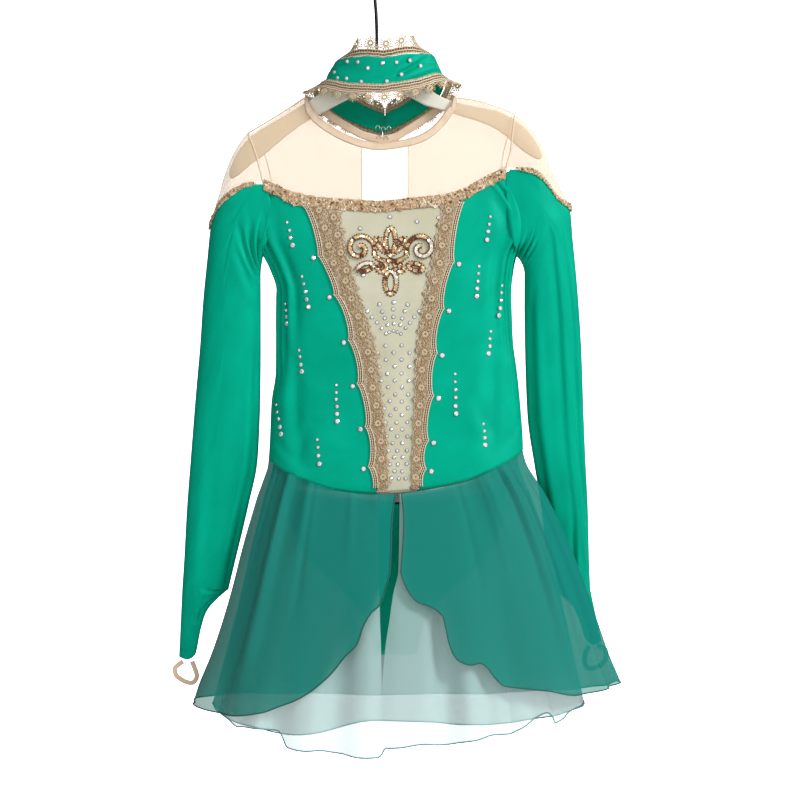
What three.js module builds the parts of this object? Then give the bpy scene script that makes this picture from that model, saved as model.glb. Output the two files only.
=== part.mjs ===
// Figure skating dress on its hanger: stretch bodice with a lace-edged centre panel, nude mesh
// yoke, long sleeves with finger loops, a choker collar and two open-fronted chiffon skirts.
//
// Millimetres. +Z is up and the front of the dress faces -Y. The origin is the inside top of the
// hanger's hook, where the hanger hangs on a rail. Left and right are the viewer's.
//
// The body and both skirts are rings. A place on a ring is (s, z): z is its height, and s counts
// quarter turns from the centre front, so -1 is the left side, 1 the right side, 2 the centre back
// and 3 the left side again. Every panel is a wall through such places.

import * as THREE from 'three';
import { mergeVertices } from 'three/addons/utils/BufferGeometryUtils.js';

// ---------------------------------------------------------------- driving dimensions

const KNIT = 1.5;                 // wall of the stretch satin panels
const MESH = 1.2;                 // wall of the nude mesh
const CHIFFON = 1.0;              // wall of one skirt layer
const SEAM_GAP = 0.5;             // clear width left at every seam
const ARMHOLE_GAP = 1.4;          // clear width on each side of the armhole seams
const ROOT_GAP = 3.2;             // clear height between the waist seam and the skirts

const WIRE = 4.6;                 // hanger hook: wire thickness
const HOOK_RADIUS = 22;           // hanger hook: radius of the wire's middle
const ARM_THICK = 9;              // hanger arms: thickness of the flat board
const ARM_ROUND = 1.5;            // hanger arms: rounding of the long edges

const BINDING_WIDTH = 10;         // folded tape round the neck
const BINDING_THICK = 2.0;
const TRIM_WIDTH = 14;            // sequinned braid across the chest
const TRIM_THICK = 1.6;
const LACE_THICK = 1.4;
const LACE_LIFT = 2.0;            // middle of a trim or lace above the middle of its panel

const KEYHOLE_LEFT = -18;         // edges of the opening at the upper back
const KEYHOLE_RIGHT = 40;
const UNDERARM = -375;            // height of the underarm

const COLLAR = { x: 11, y: 2, topHalf: 64, lowHalf: 78, deep: 43, thick: 2.2, tilt: 0.06 };
const STAR_PITCH = 19.5;          // one star flower of the collar lace
const STAR_DEPTH = 12;            // how far a star stands past its ladder band
const LADDER = 12;                // height of the ladder band of the collar lace

const LOOP_WIDTH = 6;             // finger loop: elastic tape
const LOOP_THICK = 1.8;

const SQUARE_BODY = 2.6;          // roundness of the rings: 2 is an ellipse, more is squarer
const SQUARE_SKIRT = 2.2;

// ---------------------------------------------------------------- tables

function table(columns, rows) {
  return rows.map((row) => Object.fromEntries(columns.map((name, i) => [name, row[i]])));
}

// Rings of the body: how far each reaches left and right, to the front and to the back.
const BODY = table(['z', 'left', 'right', 'front', 'back'], [
  [-690, -144, 192, 47, 41],
  [-630, -134, 184, 43, 36],
  [-599, -132, 183, 41, 34],
  [-558, -130, 180, 39, 32],
  [-519, -125, 176, 37, 31],
  [-480, -125, 171, 36, 30],
  [-418, -124, 169, 34, 28],
  [-395, -131, 171, 32, 26],
  [-375, -141, 175, 30, 24],
  [-355, -156, 190, 28, 22],
  [-336, -172, 205, 25, 20],
  [-305, -200, 225, 20, 17],
  [-280, -224, 249, 17, 15],
  [-255, -248, 272, 14, 13],
  [-218, -282, 308, 11, 11],
  [-174, -308, 330, 9, 9],
]);

// Armhole seams: x of the seam on the front and on the back, from the underarm to the shoulder.
const ARMHOLE_LEFT = table(['z', 'front', 'back'], [
  [-375, -141.5, -141.5],
  [-361, -136.5, -136],
  [-341, -131.5, -129],
  [-316, -130.5, -127],
  [-302, -132.5, -128],
  [-290, -139, -130],
  [-270, -144, -134],
  [-245, -151, -141],
  [-222, -160, -157],
]);
const ARMHOLE_RIGHT = table(['z', 'front', 'back'], [
  [-375, 175, 175],
  [-356, 169.5, 168],
  [-332, 165, 162],
  [-309, 162.5, 160],
  [-275, 162, 158],
  [-261, 163.5, 158],
  [-245, 168, 160],
  [-226, 170, 165],
  [-198, 173.5, 171],
]);

// Seam between the mesh yoke and the stretch panels, right across the front and the back.
const CHEST = table(['x', 'front', 'back'], [
  [-157, -280, -282],
  [-139, -288, -289],
  [-122, -295, -294],
  [-102, -306, -301],
  [-74, -310, -307],
  [-38, -312.5, -312],
  [3, -315, -316],
  [44, -311, -313],
  [67, -309, -309],
  [92, -305, -303],
  [113, -298, -295],
  [129, -288, -287],
  [143, -281, -280],
  [164, -270, -271],
  [179, -262, -264],
]);

// Waist seam, from side to side.
const WAIST = table(['x', 'front', 'back'], [
  [-134, -629, -629],
  [-113, -644, -640],
  [-94, -653, -648],
  [-50, -667, -659],
  [-8, -671, -664],
  [30, -669, -663],
  [67, -665, -659],
  [116, -654, -648],
  [154, -637, -636],
  [178, -623, -625],
  [184, -616, -616],
]);

// Edges of the cream centre panel and the outer edges of the lace that covers them.
const PANEL = table(['z', 'left', 'right', 'laceLeft', 'laceRight', 'inLeft', 'inRight'], [
  [-672, 5, 50, -5, 62, 18, 45],
  [-641, 2, 52, -10, 63.5, 16, 45],
  [-604, -2, 55, -12, 66.5, 14, 46],
  [-550, -10, 60, -21, 72.5, 8, 48],
  [-497, -19, 65, -31, 77, 2, 50],
  [-442, -33, 73, -46, 85.5, -14, 57],
  [-384, -56, 87, -70, 98, -32, 68],
  [-313, -74, 96, -91, 110, -46, 82],
]);

// Heights of the points of the lace's scalloped outer edge.
const LACE_POINTS = {
  left: [-315, -376, -425, -481, -535, -588, -637, -668],
  right: [-310, -384, -442, -497, -550, -605, -640, -668],
};
const SCALLOP = 5;                // how far the edge falls back between two points

// Neckline, lower edge of the tape, from the left shoulder to the right one.
const NECK = table(['x', 'front', 'backX', 'back'], [
  [-90.5, -178, -90, -177.5],
  [-88.5, -193, -83, -184],
  [-80.5, -207, -64, -201],
  [-60, -223, -39, -217],
  [-39.5, -234, -18, -228],
  [-16, -242, -1, -232.5],
  [3.5, -245, 8, -233.5],
  [30, -242, 24, -231],
  [50.5, -237.5, 40, -222.5],
  [70, -228, 60, -210],
  [85.5, -214, 80, -196],
  [96.5, -199, 94, -185],
  [101.5, -191, 99, -180],
  [102, -177, 101, -177],
]);

// Shoulder lines, from the neck to the top of the armhole: the crest of the mesh over the hanger.
const SHOULDER_LEFT = table(['x', 'z'], [[-90.5, -178], [-113, -193], [-137, -208], [-160, -221.5]]);
const SHOULDER_RIGHT = table(['x', 'z'], [[102, -177], [126, -181], [150, -188.5], [173.5, -198]]);
const CREST = 9;                  // how far below the crest the mesh has curved to its full depth

// Sleeves. Each row is one section: where its outer and inner edges are, how far back its middle
// lies and half of its depth.
const SLEEVE_LEFT = table(['outX', 'outZ', 'inX', 'inZ', 'y', 'deep'], [
  [-161, -221, -141.5, -375, 0, 17],
  [-176, -237, -142, -380, 0, 18],
  [-186, -261, -143, -385, 0, 19],
  [-194, -292, -144, -391, 1, 20],
  [-206, -335, -144.5, -400, 2, 21],
  [-211, -380, -144.5, -418, 3, 21],
  [-216, -430, -144.5, -443, 4, 20],
  [-220, -487, -144.5, -492, 5, 19],
  [-225, -543, -145, -545, 6, 18],
  [-232, -628, -148.5, -628, 8, 16],
  [-237, -692, -160, -686, 10, 15],
  [-240.5, -755, -175, -749, 11, 14],
  [-243, -792, -185, -790, 12, 13],
]);
const SLEEVE_RIGHT = table(['outX', 'outZ', 'inX', 'inZ', 'y', 'deep'], [
  [173.5, -198, 175, -375, 0, 17],
  [198, -212, 177, -377, 0, 18],
  [212, -234, 179.5, -379, 0, 19],
  [219, -263, 182, -383, 1, 20],
  [230, -288, 184.5, -389, 2, 21],
  [242, -313, 186, -397, 3, 21],
  [246, -355, 186, -412, 4, 21],
  [252, -418, 186, -437, 5, 20],
  [257, -494, 187, -499, 7, 19],
  [260, -574, 190, -574, 10, 18],
  [263, -636, 199, -636, 15, 16],
  [267, -693, 209, -692, 31, 15],
  [270, -758, 216, -752, 49, 13],
  [272, -796, 221, -794, 56, 12],
]);

// Pointed cuff: where the hem runs, from the outer edge of the sleeve to the inner one.
const CUFF_LEFT = table(['across', 'x', 'z'], [
  [0, -247, -877],
  [0.15, -237, -880],
  [0.3, -228, -876],
  [0.5, -221, -844],
  [0.65, -214, -822],
  [0.85, -199, -804],
  [1, -185.5, -792],
]);
const CUFF_RIGHT = table(['across', 'x', 'z'], [
  [0, 286, -862],
  [0.15, 277, -866],
  [0.3, 268, -862],
  [0.5, 260, -838],
  [0.65, 252, -820],
  [0.85, 236, -804],
  [1, 222, -796],
]);
const CUFF_START = 0.86;          // share of the sleeve's rows above the pointed part

// Line of the chest trim where it goes on round each sleeve.
const SLEEVE_TRIM_LEFT = table(['x', 'z'], [
  [-208, -340], [-206, -336], [-196, -314], [-175, -295], [-156, -287], [-139, -287],
]);
const SLEEVE_TRIM_RIGHT = table(['x', 'z'], [
  [163, -268], [181, -268], [202, -274], [216, -290], [227, -305], [240, -313], [243, -315],
]);

// Finger loops, from one side of the sleeve's point to the other.
const LOOP_LEFT = table(['x', 'z'], [
  [-242.5, -883], [-252, -891], [-251, -900], [-244, -906], [-236, -909.5], [-229, -909],
  [-225, -902], [-227, -893], [-231, -883],
]);
const LOOP_RIGHT = table(['x', 'z'], [
  [281.5, -867], [291, -872], [292.5, -882], [287, -891], [279, -895.5], [270, -896],
  [265, -889], [266, -879], [271, -868],
]);

// Rings of the two skirts.
const OVERSKIRT = table(['z', 'left', 'right', 'front', 'back'], [
  [-990, -240, 318, 116, 98],
  [-940, -228, 311, 111, 92],
  [-917, -222, 306, 108, 89],
  [-870, -204, 288, 102, 81],
  [-806, -184, 267, 92, 69],
  [-750, -169, 246, 78, 57],
  [-681, -149, 215, 58, 44],
  [-630, -134.5, 186.5, 45, 37],
  [-600, -134, 180, 43, 36],
]);
const UNDERSKIRT = table(['z', 'left', 'right', 'front', 'back'], [
  [-990, -214, 272, 104, 88],
  [-940, -205, 262, 100, 82],
  [-917, -199, 257, 98, 79],
  [-870, -187, 246, 92, 71],
  [-806, -171, 232, 82, 60],
  [-750, -158, 219, 69, 49],
  [-681, -141, 196, 51, 37],
  [-630, -127.5, 177, 38.5, 30.5],
  [-600, -125, 174, 37, 30],
]);

// Hems, as the height of the cloth's lower edge at each x of the front.
const OVER_HEM_LEFT = table(['x', 'z'], [
  [-228, -932], [-197, -938], [-178, -940], [-138, -934.5], [-118, -927], [-99, -920],
  [-81, -910], [-68, -900], [-53, -886], [-37, -866], [-22, -850], [-14, -828], [-4, -812],
  [5, -804], [14, -779], [18, -764],
]);
const OVER_HEM_RIGHT = table(['x', 'z'], [
  [31, -764], [35, -776], [42, -790], [52, -800], [66, -805], [76, -811], [84, -822],
  [90, -852], [101, -870], [116, -875], [127, -873], [135, -878], [144, -890], [156, -901],
  [172, -904], [210, -908], [244, -915], [274, -912], [288, -909], [308, -905],
]);
const UNDER_HEM = table(['x', 'z'], [
  [-206, -930], [-202, -933], [-182, -946], [-169, -956], [-151, -955], [-119, -958],
  [-107, -977], [-85, -980], [-69, -979], [-46, -983], [-15, -987], [7, -986],
  [12, -976], [30, -975], [59, -971], [86, -973], [101, -970], [128, -965], [141, -962],
  [165, -960], [178, -956], [195, -943], [210, -937], [227, -949], [237, -940], [255, -932],
  [262, -930],
]);
// Back hems, from the right side round to the left one.
const OVER_HEM_BACK = table(['s', 'z'], [[1, -905], [1.3, -918], [2, -934], [2.7, -928], [3, -932]]);
const UNDER_HEM_BACK = table(['s', 'z'], [
  [1, -930], [1.2, -944], [1.5, -962], [1.8, -972], [2.05, -966], [2.3, -984], [2.6, -968],
  [2.85, -946], [3, -930],
]);

// Front edges of the skirts, as x at each height.
const OVER_EDGE = table(['z', 'left', 'right'], [
  [-764, 18, 31], [-741, 19, 33], [-704, 20, 35], [-686, 22, 34], [-660, 27, 30],
]);
const UNDER_EDGE = table(['z', 'left', 'right'], [
  [-990, 7, 10.5], [-895, 7.5, 11], [-857, 7, 13], [-825, 6, 17], [-790, 5, 22],
  [-763, 4, 28], [-650, 3, 30],
]);

// Folds of the skirts: where each lies, how wide it is in quarter turns, how far it stands out at
// the hem and how late it starts below the waist.
const OVER_FOLDS = table(['s', 'wide', 'out', 'late'], [
  [-0.82, 0.10, 7, 1.2], [-0.66, 0.05, -8, 1.6], [-0.5, 0.12, 4, 1.3], [-0.27, 0.07, -5, 1.6],
  [-0.1, 0.08, 5, 1.7], [0.17, 0.07, 6, 1.7], [0.3, 0.06, -6, 1.5], [0.44, 0.09, 5, 1.3],
  [0.6, 0.05, -6, 1.2], [0.72, 0.05, 7, 0.9], [0.8, 0.04, -7, 0.9], [0.9, 0.06, 6, 1.2],
  [1.12, 0.07, -9, 1.3], [1.28, 0.08, 10, 1.2], [1.46, 0.06, -9, 1.3], [1.6, 0.08, 8, 1.4],
  [1.78, 0.06, -9, 1.2], [1.93, 0.08, 9, 1.4], [2.1, 0.06, -10, 1.3], [2.26, 0.08, 9, 1.2],
  [2.42, 0.06, -8, 1.4], [2.58, 0.08, 9, 1.3], [2.74, 0.06, -9, 1.3], [2.88, 0.07, 8, 1.2],
]);
const UNDER_FOLDS = table(['s', 'wide', 'out', 'late'], [
  [-0.84, 0.05, -6, 1.4], [-0.73, 0.06, 5, 1.3], [-0.6, 0.05, -7, 1.5], [-0.49, 0.05, 6, 1.4],
  [-0.38, 0.05, -6, 1.4], [-0.27, 0.05, 5, 1.5], [-0.17, 0.04, -6, 1.5], [-0.07, 0.05, 5, 1.4],
  [0.14, 0.04, -6, 1.5], [0.22, 0.03, 5, 1.3], [0.29, 0.03, -6, 1.2], [0.38, 0.05, 5, 1.4],
  [0.48, 0.05, -6, 1.5], [0.59, 0.05, 6, 1.4], [0.69, 0.05, -6, 1.4], [0.8, 0.05, 5, 1.4],
  [1.15, 0.06, 6, 1.3], [1.32, 0.06, -7, 1.4], [1.5, 0.07, 7, 1.3], [1.68, 0.06, -7, 1.4],
  [1.86, 0.07, 6, 1.3], [2.02, 0.06, -7, 1.4], [2.2, 0.07, 7, 1.3], [2.38, 0.06, -7, 1.3],
  [2.56, 0.07, 6, 1.4], [2.74, 0.06, -6, 1.3],
]);

// Choker collar: heights of its upper and lower edges at each angle from the centre front, and how
// far the upper lace leans in and up and the lower one out and down, for each unit of its width.
const COLLAR_EDGES = table(['angle', 'top', 'low', 'topIn', 'topUp', 'lowOut', 'lowDown'], [
  [0, -133, -168, 0.0, 1, 0.12, 0.85],
  [30, -129, -163, 0.15, 1, 0.15, 0.85],
  [60, -129, -155, 0.75, 0.55, 0.5, 0.7],
  [90, -137, -161, 0.85, 0.45, 0.78, 0.2],
  [120, -159, -182, 0.8, 0.45, 0.5, 0.5],
  [150, -178, -200, 0.6, 0.5, 0.2, 0.6],
  [180, -193, -216, 0.5, 0.55, 0.1, 0.6],
]);

// Brief under the skirts: half of its width and its distance from the middle plane.
const BRIEF = table(['drop', 'half', 'front', 'back'], [
  [0, 1, 36, 29],
  [30, 0.98, 38, 34],
  [75, 0.86, 34, 36],
  [115, 0.52, 26, 31],
  [150, 0.27, 15, 21],
  [180, 0.2, 6, 8],
  [190, 0.19, 2, 2],
]);

// ---------------------------------------------------------------- curves through the tables

// Value of one column at a place on the first column, on a smooth curve through the rows.
function along(rows, key, name, at) {
  const up = rows[0][key] < rows[rows.length - 1][key];
  const sorted = up ? rows : [...rows].reverse();
  const last = sorted.length - 1;
  const place = Math.min(Math.max(at, sorted[0][key]), sorted[last][key]);
  let i = 0;
  while (i < last - 1 && sorted[i + 1][key] < place) i += 1;
  const slope = (j) => (sorted[j + 1][name] - sorted[j][name]) / (sorted[j + 1][key] - sorted[j][key]);
  const tangent = (j) => {
    if (j === 0) return slope(0);
    if (j === last) return slope(last - 1);
    const before = slope(j - 1);
    const after = slope(j);
    return before * after <= 0 ? 0 : (2 * before * after) / (before + after);
  };
  const span = sorted[i + 1][key] - sorted[i][key];
  const t = (place - sorted[i][key]) / span;
  const t2 = t * t;
  const t3 = t2 * t;
  return (2 * t3 - 3 * t2 + 1) * sorted[i][name] + (t3 - 2 * t2 + t) * span * tangent(i)
    + (3 * t2 - 2 * t3) * sorted[i + 1][name] + (t3 - t2) * span * tangent(i + 1);
}

// Value of one column at a share of the way through the rows.
function through(rows, name, share) {
  const place = share * (rows.length - 1);
  const counted = rows.map((row, i) => ({ i, value: row[name] }));
  return along(counted, 'i', 'value', place);
}

const mix = THREE.MathUtils.lerp;
const ease = (t) => THREE.MathUtils.smoothstep(t, 0, 1);
const signedPower = (value, power) => Math.sign(value) * Math.abs(value) ** power;

// ---------------------------------------------------------------- rings and places on them

function ring(rows, square, folds = [], waist = -650, hem = -980) {
  const point = (s, z) => {
    const angle = (s * Math.PI) / 2;
    const left = along(rows, 'z', 'left', z);
    const right = along(rows, 'z', 'right', z);
    const deep = along(rows, 'z', Math.cos(angle) > 0 ? 'front' : 'back', z);
    const sx = signedPower(Math.sin(angle), 2 / square);
    const sy = signedPower(Math.cos(angle), 2 / square);
    const place = new THREE.Vector3((left + right) / 2 + ((right - left) / 2) * sx, -deep * sy, z);
    const fall = Math.max(0, (waist - z) / (waist - hem));
    let out = 0;
    for (const fold of folds) {
      const turned = [s - fold.s, s - fold.s + 4, s - fold.s - 4];
      const off = Math.min(...turned.map(Math.abs)) / fold.wide;
      out += fold.out * fall ** fold.late * Math.exp(-off * off);
    }
    const aside = new THREE.Vector3(sx * deep, (-sy * (right - left)) / 2, 0).normalize();
    return place.addScaledVector(aside, out);
  };
  // The turn s of a place at x on the front of the ring.
  const turnAt = (x, z) => {
    const left = along(rows, 'z', 'left', z);
    const right = along(rows, 'z', 'right', z);
    const share = THREE.MathUtils.clamp((2 * x - left - right) / (right - left), -1, 1);
    return (Math.asin(signedPower(share, square / 2)) * 2) / Math.PI;
  };
  return { point, turnAt };
}

const body = ring(BODY, SQUARE_BODY);
const overRing = ring(OVERSKIRT, SQUARE_SKIRT, OVER_FOLDS);
const underRing = ring(UNDERSKIRT, SQUARE_SKIRT, UNDER_FOLDS);

// A place on the back at x has the turn of the front place mirrored to the back.
const toBack = (s) => 2 - s;

// The wall's middle surface moved out along its normal: what lies on a panel starts from here.
function lifted(form, s, z, out) {
  const step = 0.004;
  const climb = 0.8;
  const side = form.point(s + step, z).sub(form.point(s - step, z));
  const rise = form.point(s, z + climb).sub(form.point(s, z - climb));
  const normal = side.cross(rise).normalize();
  return form.point(s, z).addScaledVector(normal, out);
}

// ---------------------------------------------------------------- walls

// A closed wall of even thickness about a grid of places point(u, v).
function wall(us, vs, point, thick, round = false) {
  const columns = us.length;
  const rows = vs.length;
  const middle = us.map((u) => vs.map((v) => point(u, v)));
  const at = (i, j) => middle[round ? (i + columns) % columns : i][j];
  const inside = (i) => round || (i >= 0 && i < columns);
  const normals = us.map((_, i) => vs.map((__, j) => {
    const here = at(i, j);
    const sum = new THREE.Vector3();
    for (const [di, dj] of [[1, 1], [-1, 1], [-1, -1], [1, -1]]) {
      if (!inside(i + di) || j + dj < 0 || j + dj >= rows) continue;
      const across = at(i + di, j).clone().sub(here).multiplyScalar(di);
      const up = at(i, j + dj).clone().sub(here).multiplyScalar(dj);
      sum.add(across.cross(up).normalize());
    }
    return sum.normalize();
  }));
  const points = [];
  for (const side of [0.5, -0.5]) {
    for (let i = 0; i < columns; i += 1) {
      for (let j = 0; j < rows; j += 1) {
        const moved = at(i, j).clone().addScaledVector(normals[i][j], side * thick);
        points.push(moved.x, moved.y, moved.z);
      }
    }
  }
  const outer = (i, j) => (i % columns) * rows + j;
  const inner = (i, j) => columns * rows + outer(i, j);
  const faces = [];
  const quad = (a, b, c, d) => faces.push(a, b, c, a, c, d);
  const last = round ? columns : columns - 1;
  for (let i = 0; i < last; i += 1) {
    for (let j = 0; j < rows - 1; j += 1) {
      quad(outer(i, j), outer(i + 1, j), outer(i + 1, j + 1), outer(i, j + 1));
      quad(inner(i, j), inner(i, j + 1), inner(i + 1, j + 1), inner(i + 1, j));
    }
    quad(outer(i, 0), inner(i, 0), inner(i + 1, 0), outer(i + 1, 0));
    quad(outer(i, rows - 1), outer(i + 1, rows - 1), inner(i + 1, rows - 1), inner(i, rows - 1));
  }
  if (!round) {
    for (let j = 0; j < rows - 1; j += 1) {
      quad(outer(0, j), outer(0, j + 1), inner(0, j + 1), inner(0, j));
      quad(outer(last, j), inner(last, j), inner(last, j + 1), outer(last, j + 1));
    }
  }
  const geometry = new THREE.BufferGeometry();
  geometry.setAttribute('position', new THREE.Float32BufferAttribute(points, 3));
  geometry.setIndex(faces);
  geometry.computeVertexNormals();
  return geometry;
}

const steps = (count, from = 0, to = 1) => (
  Array.from({ length: count + 1 }, (_, i) => from + ((to - from) * i) / count)
);
const turns = (count) => Array.from({ length: count }, (_, i) => i / count);

// ---------------------------------------------------------------- the dress

const dress = new THREE.Group();

const cloth = {
  satin: { color: 0x0f9f80, roughness: 0.42, metalness: 0 },
  cream: { color: 0xd8d6b6, roughness: 0.7, metalness: 0 },
  mesh: { color: 0xf0d9b8, roughness: 0.8, metalness: 0 },
  tape: { color: 0xe4cfae, roughness: 0.7, metalness: 0 },
  lace: { color: 0xa88e62, roughness: 0.6, metalness: 0.2 },
  chiffon: { color: 0x2f8a7d, roughness: 0.75, metalness: 0 },
  mint: { color: 0xa9cbc6, roughness: 0.8, metalness: 0 },
  board: { color: 0xebe5d2, roughness: 0.45, metalness: 0 },
  steel: { color: 0x202224, roughness: 0.35, metalness: 0.8 },
};

function add(name, geometry, finish) {
  const mesh = new THREE.Mesh(geometry, new THREE.MeshStandardMaterial(cloth[finish]));
  mesh.name = name;
  dress.add(mesh);
}

// A panel between two upright borders (turn at each height) and two level ones (height at each
// turn). Each place is found by closing in on the height that suits its own turn.
function panelPlace(form, near, far, low, high) {
  return (u, v) => {
    let z = mix(low(mix(near(-650), far(-650), u)), high(mix(near(-310), far(-310), u)), v);
    let s = 0;
    for (let i = 0; i < 6; i += 1) {
      s = mix(near(z), far(z), u);
      z = mix(low(s, z), high(s, z), v);
    }
    return [s, z];
  };
}

const sideTurn = { left: -1, right: 1 };
const armholes = { left: ARMHOLE_LEFT, right: ARMHOLE_RIGHT };

// Turn of the side seam or, above the underarm, of the armhole seam.
function bodyBorder(side, face) {
  return (z) => {
    const seam = sideTurn[side];
    const x = along(armholes[side], 'z', face, z) - seam * ARMHOLE_GAP;
    const turn = z > UNDERARM ? mix(seam, body.turnAt(x, z), ease((z - UNDERARM) / 12)) : seam;
    return face === 'front' ? turn : toBack(turn);
  };
}

const frontX = (s, z) => body.point(s, z).x;
const waistOf = (face) => (s, z = -650) => (
  along(WAIST, 'x', face, frontX(s, z)) + SEAM_GAP / 2
);
const chestOf = (face, off) => (s, z = -310) => along(CHEST, 'x', face, frontX(s, z)) + off;

// Stretch panels of the front: the cream centre and a green panel on each side of it.
function frontPanels() {
  const edge = (name, shift) => (z) => body.turnAt(along(PANEL, 'z', name, z) + shift, z);
  const half = SEAM_GAP / 2;
  const pieces = [
    ['centre_panel', edge('left', half), edge('right', -half), 8, 'cream'],
    ['side_front_left', bodyBorder('left', 'front'), edge('left', -half), 7, 'satin'],
    ['side_front_right', edge('right', half), bodyBorder('right', 'front'), 7, 'satin'],
  ];
  for (const [name, near, far, columns, finish] of pieces) {
    const place = panelPlace(body, near, far, waistOf('front'), chestOf('front', -half));
    const point = (u, v) => body.point(...place(u, v));
    add(name, wall(steps(columns), steps(11), point, KNIT), finish);
  }
}

function backPanel() {
  const place = panelPlace(
    body,
    (z) => bodyBorder('right', 'back')(z) + 0.01,
    (z) => bodyBorder('left', 'back')(z) - 0.01,
    waistOf('back'),
    chestOf('back', -SEAM_GAP / 2),
  );
  add('bodice_back', wall(steps(16), steps(11), (u, v) => body.point(...place(u, v)), KNIT), 'satin');
}

// ---------------------------------------------------------------- mesh yoke

// Depth share of the mesh near the shoulder's crest: a quarter round over the hanger.
function crestShare(below) {
  const t = THREE.MathUtils.clamp(below / CREST, 0, 1);
  return Math.sqrt(1 - (1 - t) ** 2);
}

function shoulderHeight(x) {
  const rows = x < 0 ? SHOULDER_LEFT : SHOULDER_RIGHT;
  return along(rows, 'x', 'z', x);
}

// A place on the mesh at x and z, on the front or the back face, seam clearance kept at the crest.
function yokePoint(x, z, face) {
  const s = body.turnAt(x, z);
  const place = body.point(face === 'front' ? s : toBack(s), z);
  const share = crestShare(shoulderHeight(x) - z);
  const seam = (MESH / 2 + SEAM_GAP / 2) * (face === 'front' ? -1 : 1);
  place.y = mix(seam, place.y, share);
  return place;
}

// A place on the neckline of one face; t runs from the left shoulder to the right one.
function neckAt(face, t) {
  const name = face === 'front' ? 'x' : 'backX';
  return [through(NECK, name, t), through(NECK, face, t)];
}

function shoulderAt(side, share) {
  const rows = side === 'left' ? SHOULDER_LEFT : SHOULDER_RIGHT;
  return [through(rows, 'x', share), through(rows, 'z', share)];
}

// x of the chest seam's end at the armhole.
function chestEnd(side, face) {
  let x = side === 'left' ? -139 : 162;
  for (let i = 0; i < 4; i += 1) {
    x = along(armholes[side], 'z', face, along(CHEST, 'x', face, x));
  }
  return x - sideTurn[side] * ARMHOLE_GAP;
}

// How far the armhole seam bows in from the straight line between its two ends, at share v up.
function armholeBow(side, face, v) {
  const low = chestEnd(side, face);
  const [topX, topZ] = shoulderAt(side, 1);
  const z = mix(along(CHEST, 'x', face, low), topZ, v);
  const seam = along(armholes[side], 'z', face, z) - sideTurn[side] * ARMHOLE_GAP;
  return seam - mix(low, topX - sideTurn[side] * ARMHOLE_GAP, v);
}

// A mesh panel: upper border top(u), lower border on the chest seam from one x to another.
function yokePanel(face, from, to, top, bow) {
  return (u, v) => {
    const [topX, topZ] = top(u);
    const lowX = mix(from, to, u);
    const lowZ = along(CHEST, 'x', face, lowX) + SEAM_GAP / 2;
    return yokePoint(mix(lowX, topX, v) + bow(u, v), mix(lowZ, topZ, v), face);
  };
}

const SHOULDER_COLUMNS = 3;
const NECK_COLUMNS = 13;          // one for each row of the neckline's table
const YOKE_ROWS = [0, 0.3, 0.58, 0.8, 0.92, 0.975, 1];

function yokes() {
  // The front: left shoulder, neck and right shoulder above the whole chest seam.
  const count = 2 * SHOULDER_COLUMNS + NECK_COLUMNS;
  const share = SHOULDER_COLUMNS / count;
  const top = (u) => {
    if (u < share) return shoulderAt('left', 1 - u / share);
    if (u > 1 - share) return shoulderAt('right', (u - 1 + share) / share);
    return neckAt('front', (u - share) / (1 - 2 * share));
  };
  const bow = (u, v) => armholeBow('left', 'front', v) * Math.max(0, 1 - u / share)
    + armholeBow('right', 'front', v) * Math.max(0, 1 - (1 - u) / share);
  const front = yokePanel('front', chestEnd('left', 'front'), chestEnd('right', 'front'), top, bow);
  add('yoke_front', wall(steps(count), YOKE_ROWS, front, MESH), 'mesh');

  // The back is two pieces, from each armhole to its own edge of the keyhole.
  const sides = [['left', KEYHOLE_LEFT, 4], ['right', KEYHOLE_RIGHT, 5]];
  for (const [side, edge, neckColumns] of sides) {
    const columns = SHOULDER_COLUMNS + neckColumns;
    const corner = SHOULDER_COLUMNS / columns;
    const upper = (u) => {
      if (u < corner) return shoulderAt(side, 1 - u / corner);
      const reach = ((u - corner) / (1 - corner)) * (neckColumns / NECK_COLUMNS);
      return neckAt('back', side === 'left' ? reach : 1 - reach);
    };
    const bowed = (u, v) => armholeBow(side, 'back', v) * Math.max(0, 1 - u / corner);
    const back = yokePanel('back', chestEnd(side, 'back'), edge, upper, bowed);
    const order = side === 'left' ? steps(columns).reverse() : steps(columns);
    add(`yoke_back_${side}`, wall(order, YOKE_ROWS, back, MESH), 'mesh');
  }
}

// Folded tape round the neckline: the front half and the back half meet at the shoulders.
function neckBindings() {
  for (const face of ['front', 'back']) {
    const point = (u, v) => {
      const [x, z] = neckAt(face, u);
      const [x1, z1] = neckAt(face, Math.min(u + 0.01, 1));
      const [x0, z0] = neckAt(face, Math.max(u - 0.01, 0));
      const tangent = new THREE.Vector2(x1 - x0, z1 - z0).normalize();
      const ends = Math.min(1, 0.45 + Math.min(u, 1 - u) * 5);
      const out = SEAM_GAP + BINDING_WIDTH * ends * v;
      const placeX = x - tangent.y * out;
      const placeZ = z + tangent.x * out;
      const s = body.turnAt(placeX, placeZ);
      const on = body.point(face === 'front' ? s : toBack(s), placeZ);
      const reach = THREE.MathUtils.clamp(Math.min(u, 1 - u) * 25, 0, 1);
      const seam = (BINDING_THICK / 2 + SEAM_GAP / 2) * (face === 'front' ? -1 : 1);
      on.y = mix(seam, on.y, Math.sqrt(reach));
      return on;
    };
    const us = [0, 0.5 / 26, ...steps(NECK_COLUMNS - 2, 1 / 13, 12 / 13), 25.5 / 26, 1];
    const order = face === 'front' ? us : us.reverse();
    add(`neck_binding_${face}`, wall(order, [0, 1], point, BINDING_THICK), 'tape');
  }
}

// ---------------------------------------------------------------- sleeves

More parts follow.
